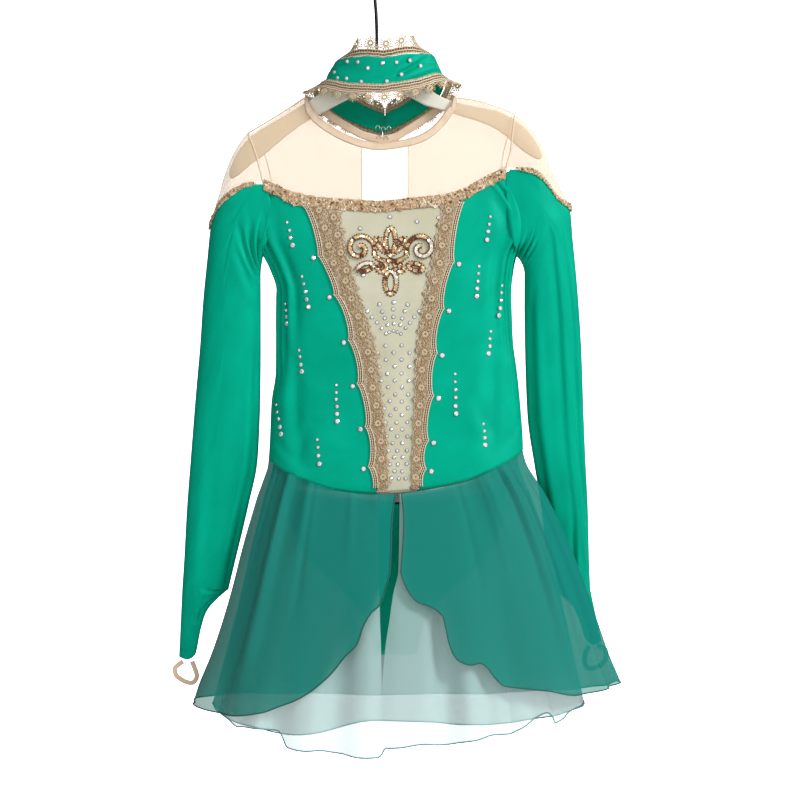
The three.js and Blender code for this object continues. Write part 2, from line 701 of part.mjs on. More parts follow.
// A sleeve as a tube: turn a runs round it (0 outer edge, 0.25 front, 0.5 inner edge), v down it.
function sleeve(rows, cuff, side) {
  const outward = sideTurn[side];
  const armhole = (a) => {
    // The ring of the armhole seam itself, on the body's front and back.
    const face = Math.sin(2 * Math.PI * a) >= 0 ? 'front' : 'back';
    const z = mix(rows[0].inZ, rows[0].outZ, (1 + Math.cos(2 * Math.PI * a)) / 2);
    const x = along(armholes[side], 'z', face, z);
    const s = body.turnAt(x, z);
    const place = body.point(face === 'front' ? s : toBack(s), z);
    const crest = crestShare(rows[0].outZ - z);
    const low = crestShare(z - rows[0].inZ);
    place.y *= crest * low;
    place.x = x + outward * ARMHOLE_GAP;
    return place;
  };
  return (a, v) => {
    const cos = Math.cos(2 * Math.PI * a);
    const sin = Math.sin(2 * Math.PI * a);
    const share = Math.min(v / CUFF_START, 1);
    const wide = signedPower(cos, 0.86);
    const cut = (name) => through(rows, name, share);
    const x = mix(cut('inX'), cut('outX'), (1 + wide) / 2);
    const z = mix(cut('inZ'), cut('outZ'), (1 + wide) / 2);
    const y = cut('y') - cut('deep') * signedPower(sin, 0.86);
    const plain = new THREE.Vector3(x, y, z);
    const seamed = 1 - ease(share * 4);
    plain.lerp(armhole(a), seamed);
    if (v > CUFF_START) {
      const past = (v - CUFF_START) / (1 - CUFF_START);
      const across = (1 - wide) / 2;
      plain.x = mix(plain.x, along(cuff, 'across', 'x', across), past);
      plain.z = mix(plain.z, along(cuff, 'across', 'z', across), past);
      plain.y = mix(plain.y, cut('y') - cut('deep') * 0.6 * signedPower(sin, 0.86), past);
    }
    return plain;
  };
}

const sleeves = {
  left: { rows: SLEEVE_LEFT, cuff: CUFF_LEFT, loop: LOOP_LEFT, trim: SLEEVE_TRIM_LEFT },
  right: { rows: SLEEVE_RIGHT, cuff: CUFF_RIGHT, loop: LOOP_RIGHT, trim: SLEEVE_TRIM_RIGHT },
};

// Share of the sleeve's length at which the chest trim's line crosses it at turn a.
function trimShare(point, trim, a) {
  const below = (v) => {
    const place = point(a, v);
    return place.z < along(trim, 'x', 'z', place.x);
  };
  if (below(0)) return 0;
  let low = 0;
  let high = 0.5;
  for (let i = 0; i < 14; i += 1) {
    const middle = (low + high) / 2;
    if (below(middle)) high = middle;
    else low = middle;
  }
  return low;
}

// Turn at which the trim's line meets the armhole seam.
function trimTurn(side) {
  const [{ inZ, outZ }] = sleeves[side].rows;
  const z = along(CHEST, 'x', 'front', chestEnd(side, 'front'));
  return Math.acos((2 * (z - inZ)) / (outZ - inZ) - 1) / (2 * Math.PI);
}

const SLEEVE_START = 0.012;       // share of the sleeve's length kept clear of the armhole
const TRIM_GAP = 0.009;           // the same on each side of the seam under the trim
const TUBE_GAP = 0.0012;          // the same between the four tubes of one sleeve
const CAP_SHORTEST = 0.03;        // share of the sleeve's length where the cap ends at its corners
const CAP_CORNER = 0.012;         // turn left between the cap's corners and the armhole seam
const SLEEVE_COLUMNS = 16;

// Each sleeve is four tubes, end to end, so that each stays a simple hollow.
const SLEEVE_TUBES = {
  upper: [0, 0.06, 0.13, 0.22, 0.3, 0.32],
  middle: [0.32 + TUBE_GAP, 0.34, 0.43, 0.54, 0.63, 0.65],
  lower: [0.65 + TUBE_GAP, 0.67, 0.73, 0.75],
  wrist: [0.75 + TUBE_GAP, 0.77, 0.84, 0.92, 1],
};

function sleeveTubes(side, point) {
  const below = (u, v) => {
    const top = Math.max(trimShare(point, sleeves[side].trim, u) + TRIM_GAP, SLEEVE_START);
    return point(u, mix(top, 1, v));
  };
  const order = side === 'left' ? turns(SLEEVE_COLUMNS) : turns(SLEEVE_COLUMNS).reverse();
  for (const [part, rows] of Object.entries(SLEEVE_TUBES)) {
    add(`sleeve_${side}_${part}`, wall(order, rows, below, KNIT, true), 'satin');
  }
}

// Turn round the sleeve of a place at share u across its cap, from the back corner to the front.
function capTurn(side, u) {
  const reach = trimTurn(side) - CAP_CORNER;
  return (mix(-reach, reach, u) + 1) % 1;
}

// Mesh cap: the part of the tube above the trim, over the end of the hanger.
function sleeveCap(side, point) {
  const place = (u, v) => {
    const turn = capTurn(side, u);
    const end = trimShare(point, sleeves[side].trim, turn) - TRIM_GAP;
    return point(turn, mix(SLEEVE_START, Math.max(end, CAP_SHORTEST), v));
  };
  add(`sleeve_cap_${side}`, wall(steps(12), steps(4), place, MESH), 'mesh');
}

// Braid over the seam between cap and sleeve.
function sleeveTrim(side, point) {
  const { rows, trim } = sleeves[side];
  const half = TRIM_WIDTH / 720;          // half its width as a share of the sleeve's length
  const near = 0.004;
  const place = (u, v) => {
    const turn = capTurn(side, mix(0.02, 0.98, u));
    const at = Math.max(trimShare(point, trim, turn) + mix(-half, half, v), SLEEVE_START + 0.002);
    const here = point(turn, at);
    const round = point((turn + near) % 1, at).sub(here);
    const downward = point(turn, at + near).sub(here);
    const normal = round.cross(downward).normalize();
    const middleX = (through(rows, 'inX', at) + through(rows, 'outX', at)) / 2;
    const outward = new THREE.Vector3(here.x - middleX, here.y, 0);
    if (normal.dot(outward) < 0) normal.negate();
    return here.addScaledVector(normal, LACE_LIFT + TRIM_THICK / 2);
  };
  add(`sleeve_trim_${side}`, wall(steps(12), [0, 1], place, TRIM_THICK), 'lace');
}

// Elastic finger loop at the sleeve's point.
function fingerLoop(side) {
  const { rows, loop } = sleeves[side];
  const { y } = rows[rows.length - 1];
  const path = new THREE.CatmullRomCurve3(loop.map((row) => new THREE.Vector3(row.x, y, row.z)));
  const tape = (u, v) => {
    const place = path.getPointAt(u);
    const tangent = path.getTangentAt(u);
    const across = new THREE.Vector3(-tangent.z, 0, tangent.x);
    return place.addScaledVector(across, LOOP_WIDTH * (v - 0.5));
  };
  add(`finger_loop_${side}`, wall(steps(14), [0, 1], tape, LOOP_THICK), 'tape');
}

function sleevePieces(side) {
  const { rows, cuff } = sleeves[side];
  const point = sleeve(rows, cuff, side);
  sleeveTubes(side, point);
  sleeveCap(side, point);
  sleeveTrim(side, point);
  fingerLoop(side);
}

// ---------------------------------------------------------------- trims and laces on the body

function chestTrims() {
  for (const face of ['front', 'back']) {
    const from = chestEnd('left', face) + 5;
    const to = chestEnd('right', face) - 5;
    const point = (u, v) => {
      const x = mix(from, to, u);
      const z = along(CHEST, 'x', face, x) + TRIM_WIDTH * (v - 0.5);
      const s = body.turnAt(x, z);
      return lifted(body, face === 'front' ? s : toBack(s), z, LACE_LIFT + 0.2);
    };
    const order = face === 'front' ? steps(22) : steps(22).reverse();
    add(`chest_trim_${face}`, wall(order, [0, 1], point, TRIM_THICK), 'lace');
  }
}

// Outer edge of the panel lace: points joined by shallow arcs.
function laceEdge(side, z) {
  const heights = LACE_POINTS[side];
  let i = 0;
  while (i < heights.length - 2 && heights[i + 1] > z) i += 1;
  const t = THREE.MathUtils.clamp((heights[i] - z) / (heights[i] - heights[i + 1]), 0, 1);
  const column = side === 'left' ? 'laceLeft' : 'laceRight';
  const back = SCALLOP * Math.sqrt(Math.max(0, Math.sin(Math.PI * t)));
  return along(PANEL, 'z', column, z) - sideTurn[side] * back;
}

function panelLaces() {
  const top = -322;
  for (const side of ['left', 'right']) {
    const inner = side === 'left' ? 'inLeft' : 'inRight';
    const point = (u, v) => {
      const inX = along(PANEL, 'z', inner, mix(-665, top, v));
      const guess = mix(inX, laceEdge(side, mix(-664, top, v)), u);
      const low = along(WAIST, 'x', 'front', guess) + 1.5;
      const z = mix(low, top, v);
      const x = mix(along(PANEL, 'z', inner, z), laceEdge(side, z), u);
      return lifted(body, body.turnAt(x, z), z, LACE_LIFT);
    };
    const order = side === 'left' ? steps(2).reverse() : steps(2);
    add(`panel_lace_${side}`, wall(order, steps(35), point, LACE_THICK), 'lace');
  }
}

// ---------------------------------------------------------------- choker collar

// Angle a runs round the neck from -180 to 180 degrees; v runs from the lower to the upper edge.
function collarPoint(a, v, out = 0) {
  const turn = THREE.MathUtils.degToRad(a);
  const half = mix(COLLAR.lowHalf, COLLAR.topHalf, v) + out;
  const low = along(COLLAR_EDGES, 'angle', 'low', Math.abs(a));
  const top = along(COLLAR_EDGES, 'angle', 'top', Math.abs(a));
  const aside = half * Math.sin(turn) - 3 * (1 - v);
  return new THREE.Vector3(
    COLLAR.x + aside,
    COLLAR.y - (COLLAR.deep + out) * Math.cos(turn),
    mix(low, top, v) + COLLAR.tilt * aside,
  );
}

const COLLAR_END = 179;           // the band's two ends nearly meet at the centre back
const TAB_HALF = 14;              // degrees that the closing tab reaches past the centre back

function collar() {
  const angles = steps(28, -COLLAR_END, COLLAR_END);
  add('collar_band', wall(angles, steps(2), collarPoint, COLLAR.thick), 'satin');

  // Closing tab across the meeting of the band's ends.
  const tab = (u, v) => {
    const a = mix(-TAB_HALF, TAB_HALF, u);
    const place = collarPoint(180 - Math.abs(a), mix(0.35, 0.92, v), 2.6);
    if (a < 0) place.x = 2 * COLLAR.x - place.x;
    return place;
  };
  add('collar_tab', wall(steps(6).reverse(), [0, 1], tab, 1.6), 'tape');

  // Lace along each edge: a ladder band, then star flowers. Between two stars the edge is open.
  const girth = Math.PI * (COLLAR.lowHalf + COLLAR.deep) * 1.04;
  const stars = Math.round(girth / STAR_PITCH);
  const starEdge = [0, 1, 1];
  const count = stars * starEdge.length;
  for (const edge of ['top', 'low']) {
    const start = edge === 'top' ? 1.4 : -6;
    const point = (u, v) => {
      const a = mix(-COLLAR_END, COLLAR_END, u);
      const turn = THREE.MathUtils.degToRad(a);
      const cut = (name) => along(COLLAR_EDGES, 'angle', name, Math.abs(a));
      const reach = LADDER + STAR_DEPTH * starEdge[Math.round(u * count) % starEdge.length];
      const far = v < 0.5 ? mix(start, LADDER, v * 2) : mix(LADDER - 0.01, reach + 1, v * 2 - 1);
      const place = collarPoint(a, edge === 'top' ? 1 : 0, edge === 'top' ? 0 : 2.4);
      const aside = edge === 'top' ? -cut('topIn') : cut('lowOut');
      place.z += far * (edge === 'top' ? cut('topUp') : -cut('lowDown'));
      place.x += Math.sin(turn) * aside * Math.max(far, 0);
      place.y -= Math.cos(turn) * aside * Math.max(far, 0) * 0.8;
      return place;
    };
    const order = edge === 'top' ? steps(2) : steps(2).reverse();
    add(`collar_lace_${edge}`, wall(steps(count), order, point, LACE_THICK), 'lace');
  }
}

// ---------------------------------------------------------------- skirts

function skirtPanel(name, form, near, far, low, high, columns, rows, finish) {
  const place = (u, v) => {
    let z = mix(high(mix(near(-660), far(-660), u)), -900, v);
    let s = 0;
    for (let i = 0; i < 8; i += 1) {
      s = mix(near(z), far(z), u);
      z = mix(high(s), low(s, z), v);
    }
    return form.point(s, z);
  };
  add(name, wall(steps(columns), steps(rows), place, CHIFFON), finish);
}

function skirts() {
  const root = (off) => (s) => {
    const face = Math.cos((s * Math.PI) / 2) > 0 ? 'front' : 'back';
    return along(WAIST, 'x', face, body.point(s, -650).x) - off;
  };
  const hemAt = (form, rows) => (s, z) => along(rows, 'x', 'z', form.point(s, z).x);
  const backHem = (rows) => (s) => along(rows, 's', 'z', s);
  const edge = (form, rows, side) => (z) => form.turnAt(along(rows, 'z', side, z), z);
  const seam = 0.004;
  const layers = [
    ['overskirt', overRing, OVER_EDGE, OVER_HEM_LEFT, OVER_HEM_RIGHT, OVER_HEM_BACK, ROOT_GAP, 'chiffon'],
    ['underskirt', underRing, UNDER_EDGE, UNDER_HEM, UNDER_HEM, UNDER_HEM_BACK, ROOT_GAP + 3, 'mint'],
  ];
  for (const [name, form, edges, hemLeft, hemRight, hemBack, off, finish] of layers) {
    const high = root(off);
    skirtPanel(`${name}_left`, form, () => -1 + seam, edge(form, edges, 'left'),
      hemAt(form, hemLeft), high, 20, 8, finish);
    skirtPanel(`${name}_right`, form, edge(form, edges, 'right'), () => 1 - seam,
      hemAt(form, hemRight), high, 20, 8, finish);
    skirtPanel(`${name}_back`, form, () => 1 + seam, () => 3 - seam,
      backHem(hemBack), high, 30, 7, finish);
  }
}

// ---------------------------------------------------------------- brief

function brief() {
  for (const face of ['front', 'back']) {
    const way = face === 'front' ? -1 : 1;
    const point = (u, v) => {
      const drop = mix(0, 189, v);
      const side = mix(-1, 1, u);
      const middle = 25;
      const half = 138 * along(BRIEF, 'drop', 'half', drop);
      const deep = along(BRIEF, 'drop', face, drop) - 3;
      const round = (1 - Math.abs(side) ** SQUARE_SKIRT) ** (1 / SQUARE_SKIRT);
      const flat = drop > 100 ? mix(round, 1, ease((drop - 100) / 60)) : round;
      const top = -684 + 36 * Math.abs(side) ** 2 * (1 - v);
      return new THREE.Vector3(
        middle + half * signedPower(Math.sin((side * Math.PI) / 2), 0.95),
        way * (1.6 + deep * flat),
        top - drop,
      );
    };
    const order = face === 'front' ? steps(12) : steps(12).reverse();
    add(`brief_${face}`, wall(order, steps(8).reverse(), point, KNIT), 'satin');
  }
}

// ---------------------------------------------------------------- hanger

function hanger() {
  const centre = new THREE.Vector3(0, 0, WIRE / 2 - HOOK_RADIUS);
  const bend = (degrees) => {
    const turn = THREE.MathUtils.degToRad(degrees);
    return new THREE.Vector3(HOOK_RADIUS * Math.sin(turn), 0, centre.z + HOOK_RADIUS * Math.cos(turn));
  };
  const arc = steps(10, -100, 130).map(bend);
  const stem = [[4, -43], [-1, -52], [0, -70], [1, -96], [1, -119.5]];
  const path = new THREE.CatmullRomCurve3(
    [...arc, ...stem.map(([x, z]) => new THREE.Vector3(x, 0, z))],
    false,
    'centripetal',
  );
  const section = new THREE.Shape();
  section.absarc(0, 0, WIRE / 2, 0, 2 * Math.PI, false);
  const hook = new THREE.ExtrudeGeometry(section, { extrudePath: path, steps: 34, curveSegments: 4 });
  add('hanger_hook', clean(hook), 'steel');

  // Flat board: two sloping arms with rounded ends, raised in the middle.
  const board = new THREE.Shape();
  board.moveTo(-9, -121.5);
  board.lineTo(11, -121.5);
  board.bezierCurveTo(30, -130, 46, -160, 70, -169);
  board.bezierCurveTo(90, -185, 126, -188.5, 150, -193.5);
  board.bezierCurveTo(168, -200.5, 187, -213, 198, -230);
  board.bezierCurveTo(204, -239, 208, -247, 207, -252);
  board.bezierCurveTo(204, -257, 197, -252, 188, -246.5);
  board.bezierCurveTo(174, -237, 166, -226, 150, -216);
  board.bezierCurveTo(126, -203, 82, -194, 60, -186);
  board.bezierCurveTo(44, -177, 28, -167, 6, -166);
  board.bezierCurveTo(-22, -168, -54, -190, -85, -206);
  board.bezierCurveTo(-108, -218, -134, -246, -152, -257);
  board.bezierCurveTo(-162, -264, -172, -275, -179, -278);
  board.bezierCurveTo(-184.5, -279, -184.5, -271, -180.5, -262);
  board.bezierCurveTo(-176, -250, -169, -238, -157, -226.5);
  board.bezierCurveTo(-140, -214.5, -110, -198, -90, -185);
  board.bezierCurveTo(-60, -170, -30, -128, -9, -121.5);
  const arms = new THREE.ExtrudeGeometry(board, {
    depth: ARM_THICK - 2 * ARM_ROUND,
    bevelEnabled: true,
    bevelThickness: ARM_ROUND,
    bevelSize: ARM_ROUND,
    bevelOffset: -ARM_ROUND,
    bevelSegments: 1,
    curveSegments: 5,
  });
  arms.rotateX(Math.PI / 2);
  arms.translate(0, ARM_THICK / 2 - ARM_ROUND, 0);
  add('hanger_arms', clean(arms), 'board');
}

function clean(geometry) {
  geometry.deleteAttribute('normal');
  geometry.deleteAttribute('uv');
  const merged = mergeVertices(geometry, 1e-3);
  merged.computeVertexNormals();
  return merged;
}

hanger();
yokes();
neckBindings();
frontPanels();
backPanel();
sleevePieces('left');
sleevePieces('right');
chestTrims();
panelLaces();
collar();
skirts();
brief();

export default dress;
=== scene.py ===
"""Looks of a figure skating dress on its hanger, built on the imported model.

The tables below are in millimetres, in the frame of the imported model: +Z is up, the front of the
dress faces -Y, and the origin is the inside top of the hanger's hook. Left and right are the
viewer's. The body and the skirts are rings, and a place on one is (s, z): z is its height and s
counts quarter turns from the centre front, so -1 is the left side, 1 the right side, 2 the centre
back and 3 the left side again. Every cloth is a grid of such places.
"""

import math

import bpy
import numpy as np
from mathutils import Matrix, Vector


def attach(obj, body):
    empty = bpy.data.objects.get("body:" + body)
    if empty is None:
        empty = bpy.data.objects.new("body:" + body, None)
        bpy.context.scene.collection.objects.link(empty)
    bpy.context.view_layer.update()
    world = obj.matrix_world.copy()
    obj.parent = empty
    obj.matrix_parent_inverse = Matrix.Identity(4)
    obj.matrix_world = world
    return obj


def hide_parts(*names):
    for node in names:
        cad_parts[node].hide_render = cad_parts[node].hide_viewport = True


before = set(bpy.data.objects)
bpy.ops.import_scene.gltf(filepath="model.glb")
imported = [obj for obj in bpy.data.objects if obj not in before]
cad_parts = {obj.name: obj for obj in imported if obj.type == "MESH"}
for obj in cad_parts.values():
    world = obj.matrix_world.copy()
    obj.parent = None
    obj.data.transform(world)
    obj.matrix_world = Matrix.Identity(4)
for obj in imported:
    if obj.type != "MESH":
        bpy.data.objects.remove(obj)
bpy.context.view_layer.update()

MM = 0.001

# ---------------------------------------------------------------- driving dimensions, millimetres

SATIN = 0.7                   # stretch satin, thick enough to show its cut edge
TAPE = 1.0                    # folded tape: neck, finger loops
SEAM_GAP = 0.5
ARMHOLE_GAP = 0.5
ROOT_GAP = 0.4
MESH_WALL = 1.2
TRIM_WIDTH = 14
TRIM_LIFT = 1.7               # braid and laces above the middle of the cloth they lie on
BINDING_WIDTH = 10
KEYHOLE_LEFT = -18
KEYHOLE_RIGHT = 40
UNDERARM = -375
HEM_ROLL = 0.85               # radius of a rolled chiffon hem
SCALLOP = 5
STAR_PITCH = 19.5
LOOP_WIDTH = 6
SQUARE_BODY = 2.6
SQUARE_SKIRT = 2.2
COLLAR = {"x": 11, "y": 2, "top": 64, "low": 78, "deep": 43, "tilt": 0.06}
COLLAR_END = 179.7
TAB_HALF = 14


def table(names, rows):
    """Rows of numbers as named columns."""
    return {name: np.array(column, float) for name, column in zip(names.split(), zip(*rows))}


BODY = table("z left right front back", [
    (-690, -144, 192, 47, 41), (-630, -134, 184, 43, 36), (-599, -132, 183, 41, 34),
    (-558, -130, 180, 39, 32), (-519, -125, 176, 37, 31), (-480, -125, 171, 36, 30),
    (-418, -124, 169, 34, 28), (-395, -131, 171, 32, 26), (-375, -141, 175, 30, 24),
    (-355, -156, 190, 28, 22), (-336, -172, 205, 25, 20), (-305, -200, 225, 20, 17),
    (-280, -224, 249, 17, 15), (-255, -248, 272, 14, 13), (-218, -282, 308, 11, 11),
    (-174, -308, 330, 9, 9),
])
ARMHOLES = {
    "left": table("z front back", [
        (-375, -141.5, -141.5), (-361, -136.5, -136), (-341, -131.5, -129),
        (-316, -130.5, -127), (-302, -132.5, -128), (-290, -139, -130), (-270, -144, -134),
        (-245, -151, -141), (-222, -160, -157),
    ]),
    "right": table("z front back", [
        (-375, 175, 175), (-356, 169.5, 168), (-332, 165, 162), (-309, 162.5, 160),
        (-275, 162, 158), (-261, 163.5, 158), (-245, 168, 160), (-226, 170, 165),
        (-198, 173.5, 171),
    ]),
}
CHEST = table("x front back", [
    (-157, -280, -282), (-139, -288, -289), (-122, -295, -294), (-102, -306, -301),
    (-74, -310, -307), (-38, -312.5, -312), (3, -315, -316), (44, -311, -313),
    (67, -309, -309), (92, -305, -303), (113, -298, -295), (129, -288, -287),
    (143, -281, -280), (164, -270, -271), (179, -262, -264),
])
WAIST = table("x front back", [
    (-134, -629, -629), (-113, -644, -640), (-94, -653, -648), (-50, -667, -659),
    (-8, -671, -664), (30, -669, -663), (67, -665, -659), (116, -654, -648),
    (154, -637, -636), (178, -623, -625), (184, -616, -616),
])
PANEL = table("z left right laceLeft laceRight inLeft inRight", [
    (-672, 5, 50, -5, 62, 18, 45), (-641, 2, 52, -10, 63.5, 16, 45),
    (-604, -2, 55, -12, 66.5, 14, 46), (-550, -10, 60, -21, 72.5, 8, 48),
    (-497, -19, 65, -31, 77, 2, 50), (-442, -33, 73, -46, 85.5, -14, 57),
    (-384, -56, 87, -70, 98, -32, 68), (-313, -74, 96, -91, 110, -46, 82),
])
LACE_POINTS = {
    "left": (-315, -376, -425, -481, -535, -588, -637, -668),
    "right": (-310, -384, -442, -497, -550, -605, -640, -668),
}
NECK = table("x front backX back", [
    (-90.5, -178, -90, -177.5), (-88.5, -193, -83, -184), (-80.5, -207, -64, -201),
    (-60, -223, -39, -217), (-39.5, -234, -18, -228), (-16, -242, -1, -232.5),
    (3.5, -245, 8, -233.5), (30, -242, 24, -231), (50.5, -237.5, 40, -222.5),
    (70, -228, 60, -210), (85.5, -214, 80, -196), (96.5, -199, 94, -185),
    (101.5, -191, 99, -180), (102, -177, 101, -177),
])
SHOULDERS = {
    "left": table("x z", [(-90.5, -178), (-113, -193), (-137, -208), (-160, -221.5)]),
    "right": table("x z", [(102, -177), (126, -181), (150, -188.5), (173.5, -198)]),
}
CREST = 9
SLEEVES = {
    "left": table("outX outZ inX inZ y deep", [
        (-161, -221, -141.5, -375, 0, 17), (-176, -237, -142, -380, 0, 18),
        (-186, -261, -143, -385, 0, 19), (-194, -292, -144, -391, 1, 20),
        (-206, -335, -144.5, -400, 2, 21), (-211, -380, -144.5, -418, 3, 21),
        (-216, -430, -144.5, -443, 4, 20), (-220, -487, -144.5, -492, 5, 19),
        (-225, -543, -145, -545, 6, 18), (-232, -628, -148.5, -628, 8, 16),
        (-237, -692, -160, -686, 10, 15), (-240.5, -755, -175, -749, 11, 14),
        (-243, -792, -185, -790, 12, 13),
    ]),
    "right": table("outX outZ inX inZ y deep", [
        (173.5, -198, 175, -375, 0, 17), (198, -212, 177, -377, 0, 18),
        (212, -234, 179.5, -379, 0, 19), (219, -263, 182, -383, 1, 20),
        (230, -288, 184.5, -389, 2, 21), (242, -313, 186, -397, 3, 21),
        (246, -355, 186, -412, 4, 21), (252, -418, 186, -437, 5, 20),
        (257, -494, 187, -499, 7, 19), (260, -574, 190, -574, 10, 18),
        (263, -636, 199, -636, 15, 16), (267, -693, 209, -692, 31, 15),
        (270, -758, 216, -752, 49, 13), (272, -796, 221, -794, 56, 12),
    ]),
}
CUFFS = {
    "left": table("across x z", [
        (0, -247, -877), (0.15, -237, -880), (0.3, -228, -876), (0.5, -221, -844),
        (0.65, -214, -822), (0.85, -199, -804), (1, -185.5, -792),
    ]),
    "right": table("across x z", [
        (0, 286, -862), (0.15, 277, -866), (0.3, 268, -862), (0.5, 260, -838),
        (0.65, 252, -820), (0.85, 236, -804), (1, 222, -796),
    ]),
}
CUFF_START = 0.86
SLEEVE_TRIMS = {
    "left": table("x z", [
        (-208, -340), (-206, -336), (-196, -314), (-175, -295), (-156, -287), (-139, -287),
    ]),
    "right": table("x z", [
        (163, -268), (181, -268), (202, -274), (216, -290), (227, -305), (240, -313),
        (243, -315),
    ]),
}
SLEEVE_START = 0.003
TRIM_GAP = 0.005
CAP_SHORTEST = 0.03
CAP_CORNER = 0.012
LOOPS = {
    "left": [
        (-242.5, -883), (-252, -891), (-251, -900), (-244, -906), (-236, -909.5),
        (-229, -909), (-225, -902), (-227, -893), (-231, -883),
    ],
    "right": [
        (281.5, -867), (291, -872), (292.5, -882), (287, -891), (279, -895.5), (270, -896),
        (265, -889), (266, -879), (271, -868),
    ],
}
OVERSKIRT = table("z left right front back", [
    (-990, -240, 318, 116, 98), (-940, -228, 311, 111, 92), (-917, -222, 306, 108, 89),
    (-870, -204, 288, 102, 81), (-806, -184, 267, 92, 69), (-750, -169, 246, 78, 57),
    (-681, -149, 215, 58, 44), (-630, -134.5, 186.5, 45, 37), (-600, -134, 180, 43, 36),
])
UNDERSKIRT = table("z left right front back", [
    (-990, -214, 272, 104, 88), (-940, -205, 262, 100, 82), (-917, -199, 257, 98, 79),
    (-870, -187, 246, 92, 71), (-806, -171, 232, 82, 60), (-750, -158, 219, 69, 49),
    (-681, -141, 196, 51, 37), (-630, -127.5, 177, 38.5, 30.5), (-600, -125, 174, 37, 30),
])
OVER_HEM_LEFT = table("x z", [
    (-228, -932), (-197, -938), (-178, -940), (-138, -934.5), (-118, -927), (-99, -920),
    (-81, -910), (-68, -900), (-53, -886), (-37, -866), (-22, -850), (-14, -828), (-4, -812),
    (5, -804), (14, -779), (18, -764),
])
OVER_HEM_RIGHT = table("x z", [
    (31, -764), (35, -776), (42, -790), (52, -800), (66, -805), (76, -811), (84, -822),
    (90, -852), (101, -870), (116, -875), (127, -873), (135, -878), (144, -890), (156, -901),
    (172, -904), (210, -908), (244, -915), (274, -912), (288, -909), (308, -905),
])
UNDER_HEM = table("x z", [
    (-206, -930), (-202, -933), (-182, -946), (-169, -956), (-151, -955), (-119, -958),
    (-107, -977), (-85, -980), (-69, -979), (-46, -983), (-15, -987), (7, -986),
    (12, -976), (30, -975), (59, -971), (86, -973), (101, -970), (128, -965), (141, -962),
    (165, -960), (178, -956), (195, -943), (210, -937), (227, -949), (237, -940), (255, -932),
    (262, -930),
])
OVER_HEM_BACK = table("s z", [(1, -905), (1.3, -918), (2, -934), (2.7, -928), (3, -932)])
UNDER_HEM_BACK = table("s z", [
    (1, -930), (1.2, -944), (1.5, -962), (1.8, -972), (2.05, -966), (2.3, -984), (2.6, -968),
    (2.85, -946), (3, -930),
])
OVER_EDGE = table("z left right", [
    (-764, 18, 31), (-741, 19, 33), (-704, 20, 35), (-686, 22, 34), (-660, 27, 30),
])
UNDER_EDGE = table("z left right", [
    (-990, 8.7, 8.85), (-912, 8.6, 8.8), (-857, 7.4, 12.5), (-825, 6, 17), (-790, 5, 22),
    (-763, 4, 28), (-650, 3, 30),
])
# Folds of the skirts: place, width in quarter turns, how far out at the hem, how late it starts.
OVER_FOLDS = [
    (-0.82, 0.10, 7, 1.2), (-0.66, 0.05, -8, 1.6), (-0.5, 0.12, 4, 1.3), (-0.27, 0.07, -5, 1.6),
    (-0.1, 0.08, 5, 1.7), (0.17, 0.07, 6, 1.7), (0.3, 0.06, -6, 1.5), (0.44, 0.09, 5, 1.3),
    (0.6, 0.05, -6, 1.2), (0.72, 0.05, 7, 0.9), (0.8, 0.04, -7, 0.9), (0.9, 0.06, 6, 1.2),
    (1.12, 0.07, -9, 1.3), (1.28, 0.08, 10, 1.2), (1.46, 0.06, -9, 1.3), (1.6, 0.08, 8, 1.4),
    (1.78, 0.06, -9, 1.2), (1.93, 0.08, 9, 1.4), (2.1, 0.06, -10, 1.3), (2.26, 0.08, 9, 1.2),
    (2.42, 0.06, -8, 1.4), (2.58, 0.08, 9, 1.3), (2.74, 0.06, -9, 1.3), (2.88, 0.07, 8, 1.2),
]
UNDER_FOLDS = [
    (-0.84, 0.05, -6, 1.4), (-0.73, 0.06, 5, 1.3), (-0.6, 0.05, -7, 1.5), (-0.49, 0.05, 6, 1.4),
    (-0.38, 0.05, -6, 1.4), (-0.27, 0.05, 5, 1.5), (-0.17, 0.04, -6, 1.5), (-0.07, 0.05, 5, 1.4),
    (0.14, 0.04, -6, 1.5), (0.22, 0.03, 5, 1.3), (0.29, 0.03, -6, 1.2), (0.38, 0.05, 5, 1.4),
    (0.48, 0.05, -6, 1.5), (0.59, 0.05, 6, 1.4), (0.69, 0.05, -6, 1.4), (0.8, 0.05, 5, 1.4),
    (1.15, 0.06, 6, 1.3), (1.32, 0.06, -7, 1.4), (1.5, 0.07, 7, 1.3), (1.68, 0.06, -7, 1.4),
    (1.86, 0.07, 6, 1.3), (2.02, 0.06, -7, 1.4), (2.2, 0.07, 7, 1.3), (2.38, 0.06, -7, 1.3),
    (2.56, 0.07, 6, 1.4), (2.74, 0.06, -6, 1.3),
]
COLLAR_EDGES = table("angle top low topIn topUp lowOut lowDown", [
    (0, -133, -168, 0.0, 1, 0.12, 0.85), (30, -129, -163, 0.15, 1, 0.15, 0.85),
    (60, -129, -155, 0.75, 0.55, 0.5, 0.7), (90, -137, -161, 0.85, 0.45, 0.78, 0.2),
    (120, -159, -182, 0.8, 0.45, 0.5, 0.5), (150, -178, -200, 0.6, 0.5, 0.2, 0.6),
    (180, -193, -216, 0.5, 0.55, 0.1, 0.6),
])
BRIEF = table("drop half front back", [
    (0, 1, 36, 29), (30, 0.98, 38, 34), (75, 0.86, 34, 36), (115, 0.52, 26, 31),
    (150, 0.27, 15, 21), (180, 0.2, 6, 8), (190, 0.19, 2, 2),
])

